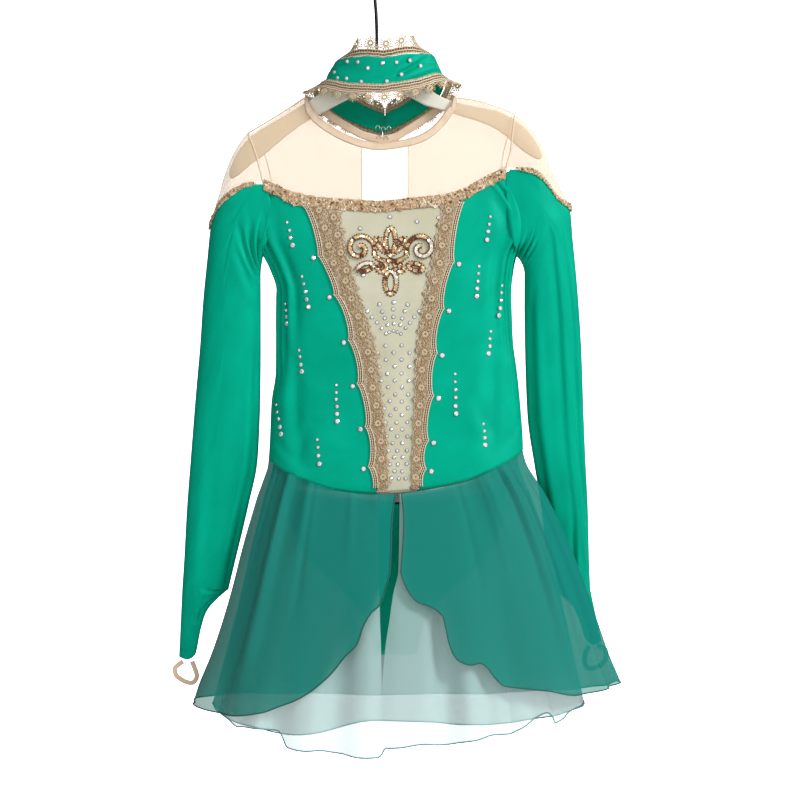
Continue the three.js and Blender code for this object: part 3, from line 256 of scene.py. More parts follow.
# Soft troughs (+) and ridges (-) of the satin: start and end as shares across and up the piece,
# how far the line bows, width and depth.
CREASES = {
    "side_front_left": [
        (0.44, 1.04, 0.32, 0.35, 0.01, 5.5, 5.0), (0.27, 0.86, 0.22, 0.25, 0.01, 5, 4.2),
        (0.64, 0.93, 0.5, 0.45, 0.02, 8, 3.2), (0.5, 0.45, 0.56, 0.02, 0.02, 9, 3.0),
        (0.7, 0.24, 0.52, 0.06, 0.05, 6, 1.8),
        (0.16, 0.98, 0.05, 0.62, 0.04, 9, 2.2), (0.35, 0.9, 0.22, 0.45, 0.03, 14, 1.6),
        (0.05, 0.5, 0.1, 0.05, -0.02, 10, 2.0), (0.6, 0.35, 0.45, 0.02, 0.03, 16, 1.3),
        (0.1, 0.12, 0.7, 0.05, 0.05, 7, 1.0),
    ],
    "side_front_right": [
        (0.62, 1.04, 0.7, 0.34, -0.01, 5.5, 5.0), (0.77, 0.86, 0.8, 0.16, -0.01, 5, 4.8),
        (0.42, 0.94, 0.52, 0.45, -0.02, 8, 3.0), (0.52, 0.45, 0.44, 0.02, 0.02, 9, 3.0),
        (0.3, 0.3, 0.5, 0.1, 0.05, 6, 1.8),
        (0.85, 0.97, 0.95, 0.6, -0.04, 9, 2.2), (0.6, 0.88, 0.78, 0.4, -0.03, 13, 1.5),
        (0.95, 0.45, 0.9, 0.06, 0.02, 11, 2.0), (0.42, 0.4, 0.55, 0.03, -0.03, 15, 1.3),
        (0.4, 0.05, 0.95, 0.14, 0.04, 7, 1.0),
    ],
    "centre_panel": [
        (0.3, 0.8, 0.42, 0.3, 0.02, 12, 0.8), (0.66, 0.6, 0.6, 0.1, -0.02, 10, 0.7),
    ],
    "bodice_back": [
        (0.06, 0.95, 0.12, 0.55, 0.04, 12, 2.4), (0.94, 0.93, 0.88, 0.5, -0.04, 11, 2.2),
        (0.28, 0.85, 0.36, 0.3, 0.03, 18, 1.8), (0.68, 0.8, 0.62, 0.25, -0.03, 17, 1.7),
        (0.5, 0.6, 0.5, 0.12, 0.01, 14, 1.8), (0.2, 0.2, 0.42, 0.1, 0.05, 8, 1.4),
        (0.82, 0.22, 0.6, 0.09, -0.05, 8, 1.3),
    ],
    "sleeve_left": [
        (0.34, 0.99, 0.47, 0.86, 0.12, 4, 5.0), (0.3, 0.93, 0.46, 0.8, 0.12, 5, 5.4),
        (0.27, 0.86, 0.45, 0.74, 0.1, 6, 4.6),
        (0.24, 0.8, 0.46, 0.68, 0.1, 7, 3.2), (0.42, 0.55, 0.41, 0.12, 0.01, 11, 4.2),
        (0.22, 0.15, 0.4, 0.1, 0.03, 4, 3.0), (0.16, 0.1, 0.36, 0.04, 0.02, 3.5, 2.4),
        (0.22, 0.8, 0.4, 0.6, 0.06, 9, 1.6), (0.2, 0.5, 0.26, 0.12, 0.02, 10, 1.5),
        (0.4, 0.4, 0.34, 0.14, -0.02, 8, 1.4), (0.3, 0.16, 0.2, 0.03, 0.03, 5, 1.6),
        (0.78, 0.9, 0.6, 0.7, 0.05, 9, 2.2), (0.72, 0.6, 0.66, 0.2, 0.03, 11, 1.8),
        (0.85, 0.35, 0.8, 0.08, 0.02, 8, 1.5),
    ],
    "sleeve_right": [
        (0.46, 0.99, 0.38, 0.86, -0.12, 4, 5.2), (0.47, 0.92, 0.34, 0.82, -0.12, 5, 5.4),
        (0.47, 0.84, 0.3, 0.77, -0.1, 6, 4.6),
        (0.44, 0.78, 0.3, 0.72, -0.08, 7, 3.2), (0.4, 0.56, 0.38, 0.1, 0.01, 13, 5.0),
        (0.13, 0.8, 0.12, 0.4, 0.01, 9, 3.4),
        (0.24, 0.72, 0.22, 0.3, 0.01, 7, 2.4), (0.2, 0.34, 0.26, 0.05, 0.02, 6, 2.8),
        (0.36, 0.6, 0.38, 0.25, -0.02, 9, 1.2), (0.3, 0.2, 0.18, 0.04, 0.03, 5, 1.6),
        (0.76, 0.9, 0.6, 0.68, 0.05, 9, 2.2), (0.7, 0.6, 0.68, 0.22, 0.03, 11, 1.9),
        (0.84, 0.3, 0.8, 0.08, 0.02, 8, 1.5),
    ],
    "collar_band": [
        (0.52, 0.14, 0.66, 0.86, -0.03, 3, 3.6), (0.5, 0.3, 0.62, 0.98, -0.02, 3, 2.6),
        (0.47, 0.12, 0.68, 0.66, -0.02, 3.5, 3.4), (0.5, 0.02, 0.72, 0.36, -0.02, 3, -1.6),
        (0.33, 0.8, 0.44, 0.5, 0.03, 6, 1.2), (0.2, 0.4, 0.34, 0.3, 0.02, 5, 1.6),
        (0.78, 0.6, 0.9, 0.4, -0.03, 6, 1.6), (0.05, 0.5, 0.17, 0.6, 0.02, 6, 1.5),
    ],
}

# ---------------------------------------------------------------- curves through the tables


def mix(a, b, share):
    return a + (b - a) * share


def ease(t):
    t = np.clip(t, 0, 1)
    return t * t * (3 - 2 * t)


def signed_power(value, power):
    return np.sign(value) * np.abs(value) ** power


def along(rows, key, name, at):
    """Value of one column at places on another, on a smooth curve that never overshoots."""
    keys, values = rows[key], rows[name]
    if keys[0] > keys[-1]:
        keys, values = keys[::-1], values[::-1]
    place = np.clip(at, keys[0], keys[-1])
    slopes = np.diff(values) / np.diff(keys)
    before, after = slopes[:-1], slopes[1:]
    same_way = before * after > 0
    total = np.where(same_way, before + after, 1)
    middle = np.where(same_way, 2 * before * after / total, 0)
    tangents = np.concatenate([slopes[:1], middle, slopes[-1:]])
    i = np.clip(np.searchsorted(keys, place, side="right") - 1, 0, len(keys) - 2)
    span = keys[i + 1] - keys[i]
    t = (place - keys[i]) / span
    t2, t3 = t**2, t**3
    ends = (2 * t3 - 3 * t2 + 1) * values[i] + (3 * t2 - 2 * t3) * values[i + 1]
    return ends + span * ((t3 - 2 * t2 + t) * tangents[i] + (t3 - t2) * tangents[i + 1])


def through(rows, name, share):
    """Value of one column at a share of the way through the rows."""
    counted = {"i": np.arange(len(rows[name]), dtype=float), "value": rows[name]}
    return along(counted, "i", "value", share * (len(rows[name]) - 1))


def run_along(line):
    """Distance run along a line at each of its places."""
    return np.concatenate([[0], np.cumsum(np.linalg.norm(np.diff(line, axis=0), axis=1))])


def smooth_line(points, count, closed=False):
    """A Catmull-Rom line through the points, as evenly spread places."""
    points = np.asarray(points, float)
    if closed:
        points = np.concatenate([points[-1:], points, points[:2]])
    else:
        points = np.concatenate([2 * points[:1] - points[1:2], points,
                                 2 * points[-1:] - points[-2:-1]])
    fine = []
    for p0, p1, p2, p3 in zip(points, points[1:], points[2:], points[3:]):
        t = np.linspace(0, 1, 12, endpoint=False)[:, None]
        fine.append(0.5 * (2 * p1 + (p2 - p0) * t + (2 * p0 - 5 * p1 + 4 * p2 - p3) * t**2
                           + (3 * p1 - p0 - 3 * p2 + p3) * t**3))
    fine.append(points[-2][None])
    fine = np.concatenate(fine)
    reach = run_along(fine)
    at = np.linspace(0, reach[-1], count)
    return np.stack([np.interp(at, reach, fine[:, k]) for k in range(fine.shape[1])], -1)


def unit(vectors):
    return vectors / np.maximum(np.linalg.norm(vectors, axis=-1, keepdims=True), 1e-9)


class Ring:
    """A form with a closed section at each height: the body or a skirt."""

    def __init__(self, rows, square, folds=(), waist=-650, hem=-980):
        self.rows, self.square, self.folds = rows, square, folds
        self.waist, self.hem = waist, hem

    def point(self, s, z):
        s, z = np.broadcast_arrays(np.asarray(s, float), np.asarray(z, float))
        angle = s * math.pi / 2
        left, right = (along(self.rows, "z", side, z) for side in ("left", "right"))
        front, back = (along(self.rows, "z", face, z) for face in ("front", "back"))
        deep = np.where(np.cos(angle) > 0, front, back)
        sx = signed_power(np.sin(angle), 2 / self.square)
        sy = signed_power(np.cos(angle), 2 / self.square)
        half = (right - left) / 2
        fall = np.maximum(0, (self.waist - z) / (self.waist - self.hem))
        out = np.zeros_like(z)
        for place, wide, reach, late in self.folds:
            off = np.abs((s - place + 2) % 4 - 2) / wide
            out = out + reach * fall**late * np.exp(-off * off)
        aside = unit(np.stack([sx * deep, -sy * half, np.zeros_like(z)], -1))
        on_ring = np.stack([(left + right) / 2 + half * sx, -deep * sy, z], -1)
        return on_ring + aside * out[..., None]

    def turn_at(self, x, z):
        """The turn s of a place at x on the front of the ring."""
        left, right = (along(self.rows, "z", side, z) for side in ("left", "right"))
        share = np.clip((2 * x - left - right) / (right - left), -1, 1)
        return np.arcsin(signed_power(share, self.square / 2)) * 2 / math.pi

    def normal(self, s, z):
        side = self.point(s + 0.004, z) - self.point(s - 0.004, z)
        rise = self.point(s, z + 0.8) - self.point(s, z - 0.8)
        return unit(np.cross(side, rise))

    def lifted(self, s, z, out):
        """A place moved out from the ring, along its normal."""
        return self.point(s, z) + self.normal(s, z) * np.asarray(out)[..., None]


body = Ring(BODY, SQUARE_BODY)
over_ring = Ring(OVERSKIRT, SQUARE_SKIRT, OVER_FOLDS)
under_ring = Ring(UNDERSKIRT, SQUARE_SKIRT, UNDER_FOLDS)
SIDE_TURN = {"left": -1, "right": 1}


def on_face(s, face):
    """The same place on the front or on the back."""
    return s if face == "front" else 2 - s


def on_body(x, z, face="front", out=0.0):
    """A place at x and z on the bodice, moved out."""
    x, z = np.broadcast_arrays(np.asarray(x, float), np.asarray(z, float))
    return body.lifted(on_face(body.turn_at(x, z), face), z, np.broadcast_to(out, x.shape))


# ---------------------------------------------------------------- grids, meshes and finishing


def spread(count, start=0.0, end=1.0):
    return np.linspace(start, end, count + 1)


def plane(us, vs):
    return np.meshgrid(us, vs, indexing="ij")


def grid_normals(grid, closed=False):
    if closed:
        across = np.roll(grid, -1, 0) - np.roll(grid, 1, 0)
    else:
        across = np.gradient(grid, axis=0)
    return unit(np.cross(across, np.gradient(grid, axis=1)))


def steps_of(grid, axis, closed=False):
    """Lengths of the grid's steps along one axis."""
    if closed:
        return np.linalg.norm(np.roll(grid, -1, axis) - grid, axis=-1)
    return np.linalg.norm(np.diff(grid, axis=axis), axis=-1)


def creased(name, grid, u, v, closed=False):
    """The grid with its creases pressed in: each a soft trough with a low ridge beside it."""
    wide = steps_of(grid, 0, closed).sum(0).mean()
    high = steps_of(grid, 1).sum(1).mean()
    fall = np.zeros_like(u)
    for u0, v0, u1, v1, bow, width, deep in CREASES.get(name, ()):
        start = np.array([u0 * wide, v0 * high])
        end = np.array([u1 * wide, v1 * high])
        length = np.linalg.norm(end - start)
        way = (end - start) / length
        x, y = u * wide - start[0], v * high - start[1]
        t = np.clip((x * way[0] + y * way[1]) / length, 0, 1)
        off = (x * way[1] - y * way[0] - bow * length * 4 * t * (1 - t)) / width
        fade = np.sin(math.pi * t) ** 0.8
        fall = fall + deep * fade * (np.exp(-off**2) - 0.45 * np.exp(-((off - 1.7) ** 2)))
    return grid - grid_normals(grid, closed) * fall[..., None]


def select_only(piece):
    bpy.ops.object.select_all(action="DESELECT")
    piece.select_set(True)
    bpy.context.view_layer.objects.active = piece


def new_piece(name, vertices, faces, smooth=True):
    mesh = bpy.data.meshes.new(name)
    mesh.from_pydata((np.asarray(vertices) * MM).tolist(), [], faces)
    mesh.polygons.foreach_set("use_smooth", [smooth] * len(mesh.polygons))
    mesh.update()
    piece = bpy.data.objects.new(name, mesh)
    bpy.context.collection.objects.link(piece)
    return piece


def cloth(name, grid, closed=False, thick=0.0):
    """A sheet from a grid of places, columns across, rows up; its UV map has its real size."""
    columns, rows = grid.shape[:2]
    index = np.arange(columns * rows).reshape(columns, rows)
    here = index if closed else index[:-1]
    beyond = np.roll(index, -1, 0) if closed else index[1:]
    faces = np.stack([here[:, :-1], beyond[:, :-1], beyond[:, 1:], here[:, 1:]], -1).reshape(-1, 4)
    piece = new_piece(name, grid.reshape(-1, 3), faces.tolist())
    wide = steps_of(grid, 0, closed).sum(0).mean() * MM
    high = steps_of(grid, 1).sum(1).mean() * MM
    i, j = plane(np.arange(len(here)), np.arange(rows - 1))
    u = np.stack([i, i + 1, i + 1, i], -1) / len(here) * wide
    v = np.stack([j, j, j + 1, j + 1], -1) / (rows - 1) * high
    layer = piece.data.uv_layers.new(name="cloth")
    layer.data.foreach_set("uv", np.stack([u, v], -1).ravel())
    if thick:
        select_only(piece)
        wall = piece.modifiers.new("wall", "SOLIDIFY")
        wall.thickness = thick * MM
        wall.offset = 0
        bpy.ops.object.modifier_apply(modifier=wall.name)
    return piece


def finish(piece, material, slot, *nodes):
    """Gives a piece its material and its place on the dress."""
    piece.data.materials.clear()
    piece.data.materials.append(material)
    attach(piece, "root")
    if nodes:
        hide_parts(*nodes)
    return piece


def sewn(name, grid, material, slot, node, thick=0.0):
    """One cut piece of cloth in its place: made and finished."""
    piece = finish(cloth(name, grid, thick=thick), material, slot, node)


class Cords:
    """Round threads, cords and rolled edges, gathered into one mesh."""

    def __init__(self):
        self.points, self.faces, self.count = [], [], 0

    def lay(self, path, radius, outward, sides=4, closed=False):
        path = np.asarray(path, float)
        if closed:
            tangent = unit(np.roll(path, -1, 0) - np.roll(path, 1, 0))
        else:
            tangent = unit(np.gradient(path, axis=0))
        side = unit(np.cross(tangent, np.broadcast_to(outward, path.shape)))
        up = np.cross(side, tangent)
        angles = 2 * math.pi * np.arange(sides) / sides
        radius = np.broadcast_to(radius, len(path))[:, None, None]
        cos, sin = (wave(angles)[None, :, None] for wave in (np.cos, np.sin))
        ring = cos * side[:, None] + sin * up[:, None]
        self.points.append((path[:, None] + radius * ring).reshape(-1, 3))
        count = len(path)
        for i in range(count if closed else count - 1):
            a, b = self.count + i * sides, self.count + (i + 1) % count * sides
            for k in range(sides):
                n = (k + 1) % sides
                self.faces.append((a + k, b + k, b + n, a + n))
        if not closed:
            last = self.count + (count - 1) * sides
            self.faces.append(tuple(range(self.count, self.count + sides)))
            self.faces.append(tuple(range(last + sides - 1, last - 1, -1)))
        self.count += count * sides

    def piece(self, name, smooth=True):
        return new_piece(name, np.concatenate(self.points), self.faces, smooth)


class Stamps:
    """Copies of one small model, each at its own place, gathered into one mesh."""

    def __init__(self, master):
        mesh = master.data
        self.shape = np.array([vertex.co for vertex in mesh.vertices])
        self.shape_faces = [tuple(face.vertices) for face in mesh.polygons]
        bpy.data.objects.remove(master)
        self.points, self.faces, self.count = [], [], 0

    def press(self, places, outward, size, spin=0.0, lean=0.0, lean_way=0.0):
        """Stamps the model, its +Z outward; size in millimetres for each unit of the model."""
        places = np.atleast_2d(places)
        count = len(places)
        outward = unit(np.broadcast_to(outward, places.shape))
        guide = np.where(np.abs(outward[:, 2:]) > 0.9, [[1.0, 0, 0]], [[0, 0, 1.0]])
        x = unit(np.cross(guide, outward))
        y = np.cross(outward, x)
        way = np.broadcast_to(lean_way, count)[:, None]
        leaning = x * np.cos(way) + y * np.sin(way)
        z = unit(outward + leaning * np.tan(np.broadcast_to(lean, count))[:, None])
        x = unit(x - z * (x * z).sum(-1, keepdims=True))
        y = np.cross(z, x)
        turn = np.broadcast_to(spin, count)[:, None]
        x, y = x * np.cos(turn) + y * np.sin(turn), y * np.cos(turn) - x * np.sin(turn)
        size = np.broadcast_to(size, count)[:, None, None]
        shape = self.shape[None]
        moved = (shape[..., :1] * x[:, None] + shape[..., 1:2] * y[:, None]
                 + shape[..., 2:] * z[:, None])
        self.points.append((places[:, None] + size * moved).reshape(-1, 3))
        for _ in range(count):
            self.faces += [tuple(self.count + corner for corner in face)
                           for face in self.shape_faces]
            self.count += len(self.shape)

    def piece(self, name, smooth=False):
        return new_piece(name, np.concatenate(self.points), self.faces, smooth)


# ---------------------------------------------------------------- small models


def ring_model(sides, profile):
    """A disc of a given number of sides, drawn up through (height, share of radius) steps."""
    bpy.ops.object.select_all(action="DESELECT")
    bpy.ops.mesh.primitive_circle_add(vertices=sides, radius=1, fill_type="NGON")
    model = bpy.context.object
    bpy.ops.object.mode_set(mode="EDIT")
    bpy.ops.mesh.select_all(action="SELECT")
    before = 1
    for height, radius in profile:
        bpy.ops.mesh.extrude_region_move(TRANSFORM_OT_translate={"value": (0, 0, height)})
        share = radius / before
        bpy.ops.transform.resize(value=(share, share, 1))
        before = radius
    bpy.ops.mesh.select_all(action="SELECT")
    bpy.ops.mesh.normals_make_consistent(inside=False)
    bpy.ops.object.mode_set(mode="OBJECT")
    return model


def rhinestone_model():
    """A flat-backed stone: girdle, two rows of facets and a table."""
    return ring_model(8, [(0.12, 1.0), (0.22, 0.86), (0.18, 0.52)])


def stone_cup_model():
    """The shallow cup of glue and foil that shows round a stone; its dark grey is partly painted
    shade round the stone.
    """
    return ring_model(10, [(0.12, 0.96)])


def sequin_model():
    """A thin cupped disc."""
    return ring_model(8, [(0.10, 0.82), (-0.06, 0.25)])


def bead_model():
    """A short round bead."""
    return ring_model(6, [(0.4, 1.0), (0.45, 0.62)])


# ---------------------------------------------------------------- materials


def linear(code):
    """Linear colour of an sRGB hex code."""
    parts = [int(code[i:i + 2], 16) / 255 for i in (0, 2, 4)]
    return (*(p / 12.92 if p <= 0.04045 else ((p + 0.055) / 1.055) ** 2.4 for p in parts), 1)


def add(material, kind, settings=None, **links):
    """Adds a shader node with its settings; each input takes a value or another node's output."""
    node = material.node_tree.nodes.new(kind)
    for key, value in (settings or {}).items():
        setattr(node, key, value)
    for key, value in links.items():
        socket = node.inputs[int(key[1:]) if key[1:].isdigit() else key.replace("_", " ")]
        if isinstance(value, bpy.types.NodeSocket):
            material.node_tree.links.new(value, socket)
        else:
            socket.default_value = value
    return node


def surface(name, colour, rough, **sockets):
    """A material whose even values sit on the shader's own sockets."""
    material = bpy.data.materials.new(name)
    material.use_nodes = True
    shader = material.node_tree.nodes["Principled BSDF"]
    shader.inputs["Base Color"].default_value = linear(colour)
    shader.inputs["Roughness"].default_value = rough
    for key, value in sockets.items():
        shader.inputs[key.replace("_", " ")].default_value = value
    return material


def feed(material, socket, output):
    shader = material.node_tree.nodes["Principled BSDF"]
    material.node_tree.links.new(output, shader.inputs[socket])


def ribs(material, period, across=True, detail=0.0):
    """Fine parallel lines along the cloth, their period in millimetres."""
    place = add(material, "ShaderNodeUVMap", {"uv_map": "cloth"})
    lines = add(material, "ShaderNodeTexWave",
                {"wave_type": "BANDS", "bands_direction": "X" if across else "Y"},
                Vector=place.outputs[0], Scale=0.314 / (period * MM), Distortion=detail)
    return lines.outputs["Fac"]


def cloud(material, size, uv=True):
    """Soft uneven patches about this many millimetres wide."""
    if uv:
        place = add(material, "ShaderNodeUVMap", {"uv_map": "cloth"}).outputs[0]
    else:
        place = add(material, "ShaderNodeTexCoord").outputs["Object"]
    patches = add(material, "ShaderNodeTexNoise", Vector=place, Scale=1 / (size * MM), Detail=3.0)
    return patches.outputs["Fac"]


def between(material, share, low, high, dark, light):
    """A colour that runs from dark to light as the share runs from low to high."""
    ramp = add(material, "ShaderNodeMapRange", Value=share, From_Min=low, From_Max=high)
    blend = add(material, "ShaderNodeMix", {"data_type": "RGBA"}, Factor=ramp.outputs[0],
                _6=linear(dark), _7=linear(light))
    return blend.outputs[2]


def raise_by(material, height, distance):
    """Relief, its depth in millimetres."""
    bump = add(material, "ShaderNodeBump", Height=height, Distance=distance * MM, Strength=1.0)
    feed(material, "Normal", bump.outputs[0])


def satin(name, dark, light, tint):
    # Warp-knitted stretch satin: a smooth face whose fine ribs spread the light into soft bands.
    material = surface(name, light, 0.42, Specular_IOR_Level=0.34, Specular_Tint=tint)
    feed(material, "Base Color", between(material, cloud(material, 46), 0.3, 0.7, dark, light))
    raise_by(material, ribs(material, 0.7, detail=0.6), 0.05)
    return material


GREEN_SHINE = (0.06, 1, 0.8, 1)      # light that leaves a dyed filament takes on its colour
green_satin = satin("stretch satin, knitted and pressed smooth", "00A484", "00B391", GREEN_SHINE)
collar_satin = satin("collar satin, knitted and pressed smooth", "00A283", "02B08F", GREEN_SHINE)
cream_satin = satin("cream stretch satin, knitted, matt side out", "CAC7AB", "D8D6BE",
                    (1, 1, 0.9, 1))

# Nylon power mesh, sheer: at arm's length its holes only thin out its colour.
nude_mesh = surface("nylon power mesh, warp-knitted sheer", "F4D6B0", 0.7, Alpha=0.56,
                    Specular_IOR_Level=0.1)
# The same mesh folded double into a tape: nearly opaque, with a dry surface.
nude_tape = surface("nude tape, folded and stitched", "F3D8BA", 0.7)
feed(nude_tape, "Base Color",
     between(nude_tape, cloud(nude_tape, 9), 0.3, 0.7, "EDD0B0", "FAE2C8"))
raise_by(nude_tape, ribs(nude_tape, 0.9, across=False), 0.08)
# Folded elastic of the finger loops: pale, a little shiny, ribbed along its length.
elastic_tape = surface("elastic tape, woven", "F6D9B8", 0.55)
raise_by(elastic_tape, ribs(elastic_tape, 1.1, across=False), 0.1)

# Silk-weight chiffon, sheer and dry: overlapping layers deepen its colour.
dark_chiffon = surface("chiffon, plain-woven sheer, bottle green", "12877B", 0.8, Alpha=0.86,
                       Specular_IOR_Level=0.08)
mint_chiffon = surface("chiffon, plain-woven sheer, mint", "B0D0CE", 0.8, Alpha=0.70,
                       Specular_IOR_Level=0.1)
# Rolled edges are many threads deep, so they read as dark lines round the sheer cloth.
dark_roll = surface("chiffon edge, machine-rolled, bottle green", "0A6256", 0.6)
mint_roll = surface("chiffon edge, machine-rolled, mint", "5F939C", 0.6)

# Metallised lace: flat gold-beige net under raised pale cords, so the edge reads as openwork.
gold_net = surface("metallised lace net, raschel-knitted", "C9B48E", 0.6)
weave = between(gold_net, cloud(gold_net, 2.2), 0.38, 0.6, "8E7760", "D0C0A4")
feed(gold_net, "Base Color", weave)
raise_by(gold_net, ribs(gold_net, 1.6), 0.12)
pale_cord = surface("metallised cord, twisted, pale gold", "E6D6BC", 0.45, Metallic=0.15)
gold_cord = surface("metallised cord, twisted, old gold", "C8AA7C", 0.42, Metallic=0.3)

# Sequins and beads: pressed metallised film, each tilted its own way, so they flash unevenly.
gold_sequin = surface("sequin, pressed metallised film, pale gold", "F3CFA0", 0.24, Metallic=0.8)
# A lighter copy of the gold sequin: its pale colour is a painted highlight.
painted_highlight_sequin = surface("sequin, pressed metallised film, painted highlight", "FFF0DC", 0.25, Metallic=0.6)
rose_sequin = surface("sequin, pressed film, rose beige", "DDB596", 0.35, Metallic=0.35)
brown_bead = surface("seed bead, drawn glass, bronze-lined", "6E3E22", 0.35, Metallic=0.35)
braid_ground = surface("braid ground, knitted net with metal thread", "BE9C74", 0.6,
                       Metallic=0.1)

# Machine-cut glass with a foil back: sharp facets, bright or dark with the way each one faces.
cut_glass = surface("foiled glass, machine-cut facets", "F6FAFF", 0.08, Metallic=0.6)
# The cups are glue and foil, and their dark grey is partly painted shade round each stone.
stone_cup_painted_shade = surface("glue and foil rim, hand-set, darkened as painted shade", "3E4644", 0.5, Metallic=0.3)

thread_green = surface("polyester thread, sewn, green", "0A8E74", 0.6)
thread_nude = surface("polyester thread, sewn, nude", "CDB08C", 0.6)

# Painted board of the hanger: a dry, slightly warm cream face, faintly uneven from the roller.
board_paint = surface("painted board, rolled cream lacquer", "FAF6E8", 0.55)
raise_by(board_paint, cloud(board_paint, 7, uv=False), 0.05)
# Bent steel wire under black lacquer: a dark line with a narrow bright streak.
black_wire = surface("steel wire, bent and black-lacquered", "17181A", 0.32, Metallic=0.6)
hook_metal = surface("hook and eye, stamped, nickel-plated", "E4E4E2", 0.3, Metallic=0.7)
floor_paint = surface("studio floor, painted matt white", "F4F4F4", 0.9)


# ---------------------------------------------------------------- bodice


def border(side, face, rounding=12):
    """Turn of the side seam or, above the underarm, of the armhole seam."""
    seam = SIDE_TURN[side]

    def turn(z):
        x = along(ARMHOLES[side], "z", face, z) - seam * ARMHOLE_GAP
        rising = mix(seam, body.turn_at(x, z), ease((z - UNDERARM) / rounding))
        return on_face(np.where(z > UNDERARM, rising, seam), face)

    return turn


def panel_edge(name, shift):
    return lambda z: body.turn_at(along(PANEL, "z", name, z) + shift, z)


def line_on(rows, face, off):
    """Height of a seam line at a place on the body."""
    return lambda s, z: along(rows, "x", face, body.point(s, z)[..., 0]) + off


def panel_places(near, far, low, high, u, v, calm=None, rounds=9):
    """Places of a panel between two borders: u runs from near to far, v from low to high.

    Inside the panel the threads follow the calm borders, without the underarm's corner."""
    calm_near, calm_far = calm or (near, far)
    z = np.full_like(u, -500.0)
    for _ in range(rounds):
        s = mix(calm_near(z), calm_far(z), u)
        s = s + (near(z) - calm_near(z)) * (1 - u) ** 7 + (far(z) - calm_far(z)) * u**7
        z = mix(low(s, z), high(s, z), v)
    return s, z


HALF_SEAM = SEAM_GAP / 2
BODICE = [
    ("centre_panel", "front", panel_edge("left", HALF_SEAM), panel_edge("right", -HALF_SEAM), 36,
     cream_satin, "cream_panel"),
    ("side_front_left", "front", border("left", "front"), panel_edge("left", -HALF_SEAM), 50,
     green_satin, "green_satin"),
    ("side_front_right", "front", panel_edge("right", HALF_SEAM), border("right", "front"), 50,
     green_satin, "green_satin"),
    ("bodice_back", "back", lambda z: border("right", "back")(z) + 0.01,
     lambda z: border("left", "back")(z) - 0.01, 84, green_satin, "green_satin"),
]
CALM = {
    "side_front_left": (border("left", "front", 110), panel_edge("left", -HALF_SEAM)),
    "side_front_right": (panel_edge("right", HALF_SEAM), border("right", "front", 110)),
    "bodice_back": (lambda z: border("right", "back", 110)(z) + 0.01,
                    lambda z: border("left", "back", 110)(z) - 0.01),
}
pressed = []                      # places of the smooth front and how far its creases move them
for name, face, near, far, columns, material, slot in BODICE:
    u, v = plane(spread(columns), spread(80))
    s, z = panel_places(near, far, line_on(WAIST, face, HALF_SEAM),
                        line_on(CHEST, face, -HALF_SEAM), u, v, CALM.get(name))
    smooth = body.point(s, z)
    grid = creased(name, smooth, u, v)
    if face == "front":
        pressed.append(np.stack([smooth, grid - smooth]).reshape(2, -1, 3))
    sewn(f"{name}_satin", grid, material, slot, name, SATIN)


# ---------------------------------------------------------------- mesh yoke and neck binding


def crest_share(below):
    """Depth share of the mesh near the shoulder's crest: a quarter round over the hanger."""
    t = np.clip(below / CREST, 0, 1)
    return np.sqrt(1 - (1 - t) ** 2)


def shoulder_height(x):
    left, right = (along(SHOULDERS[side], "x", "z", x) for side in ("left", "right"))
    return np.where(x < 0, left, right)


def yoke_point(x, z, face):
    place = body.point(on_face(body.turn_at(x, z), face), z)
    seam = (MESH_WALL / 2 + HALF_SEAM) * (-1 if face == "front" else 1)
    place[..., 1] = mix(seam, place[..., 1], crest_share(shoulder_height(x) - z))
    return place


def neck_at(face, t):
    return through(NECK, "x" if face == "front" else "backX", t), through(NECK, face, t)


def shoulder_at(side, share):
    return through(SHOULDERS[side], "x", share), through(SHOULDERS[side], "z", share)


def chest_end(side, face):
    """x of the chest seam's end at the armhole."""
    x = -139.0 if side == "left" else 162.0
    for _ in range(4):
        x = along(ARMHOLES[side], "z", face, along(CHEST, "x", face, x))
    return float(x - SIDE_TURN[side] * ARMHOLE_GAP)


def armhole_bow(side, face, v):
    """How far the armhole seam bows in from the straight line between its two ends."""
    low, shift = chest_end(side, face), SIDE_TURN[side] * ARMHOLE_GAP
    top_x, top_z = shoulder_at(side, 1)
    z = mix(along(CHEST, "x", face, low), top_z, v)
    return along(ARMHOLES[side], "z", face, z) - shift - mix(low, top_x - shift, v)


SHOULDER_SHARE = 3 / 19       # share of the front yoke's width that each shoulder takes


def yoke_grid(face, low_from, low_to, us, vs, top, bow):
    u, v = plane(us, vs)
    top_x, top_z = top(u)
    low_x = mix(low_from, low_to, u)
    low_z = along(CHEST, "x", face, low_x) + HALF_SEAM
    return yoke_point(mix(low_x, top_x, v) + bow(u, v), mix(low_z, top_z, v), face)


def front_top(u):
    left = shoulder_at("left", np.clip(1 - u / SHOULDER_SHARE, 0, 1))
    right = shoulder_at("right", np.clip((u - 1 + SHOULDER_SHARE) / SHOULDER_SHARE, 0, 1))
    neck = neck_at("front", np.clip((u - SHOULDER_SHARE) / (1 - 2 * SHOULDER_SHARE), 0, 1))
    on_left, on_right = u < SHOULDER_SHARE, u > 1 - SHOULDER_SHARE
    return tuple(np.where(on_left, a, np.where(on_right, b, c))
                 for a, b, c in zip(left, right, neck))


def front_bow(u, v):
    return (armhole_bow("left", "front", v) * np.maximum(0, 1 - u / SHOULDER_SHARE)
            + armhole_bow("right", "front", v) * np.maximum(0, 1 - (1 - u) / SHOULDER_SHARE))


def rising(count):
    """Rows that crowd together near the top, where the mesh turns over the hanger."""
    return 1 - (1 - spread(count)) ** 1.6


def wearing(grid, depth, seed):
    """Slight, uneven hanging ripples of a light mesh, pressed into its own surface."""
    u, v = plane(spread(len(grid) - 1), spread(grid.shape[1] - 1))
    wave = np.sin(9 * u + 2.1 * v + seed) + 0.6 * np.sin(17 * u - 3.7 * v + 2 * seed)
    hold = np.sin(math.pi * np.clip(v, 0, 1)) * np.sin(math.pi * u)
    return grid + grid_normals(grid) * (depth * wave * hold)[..., None]


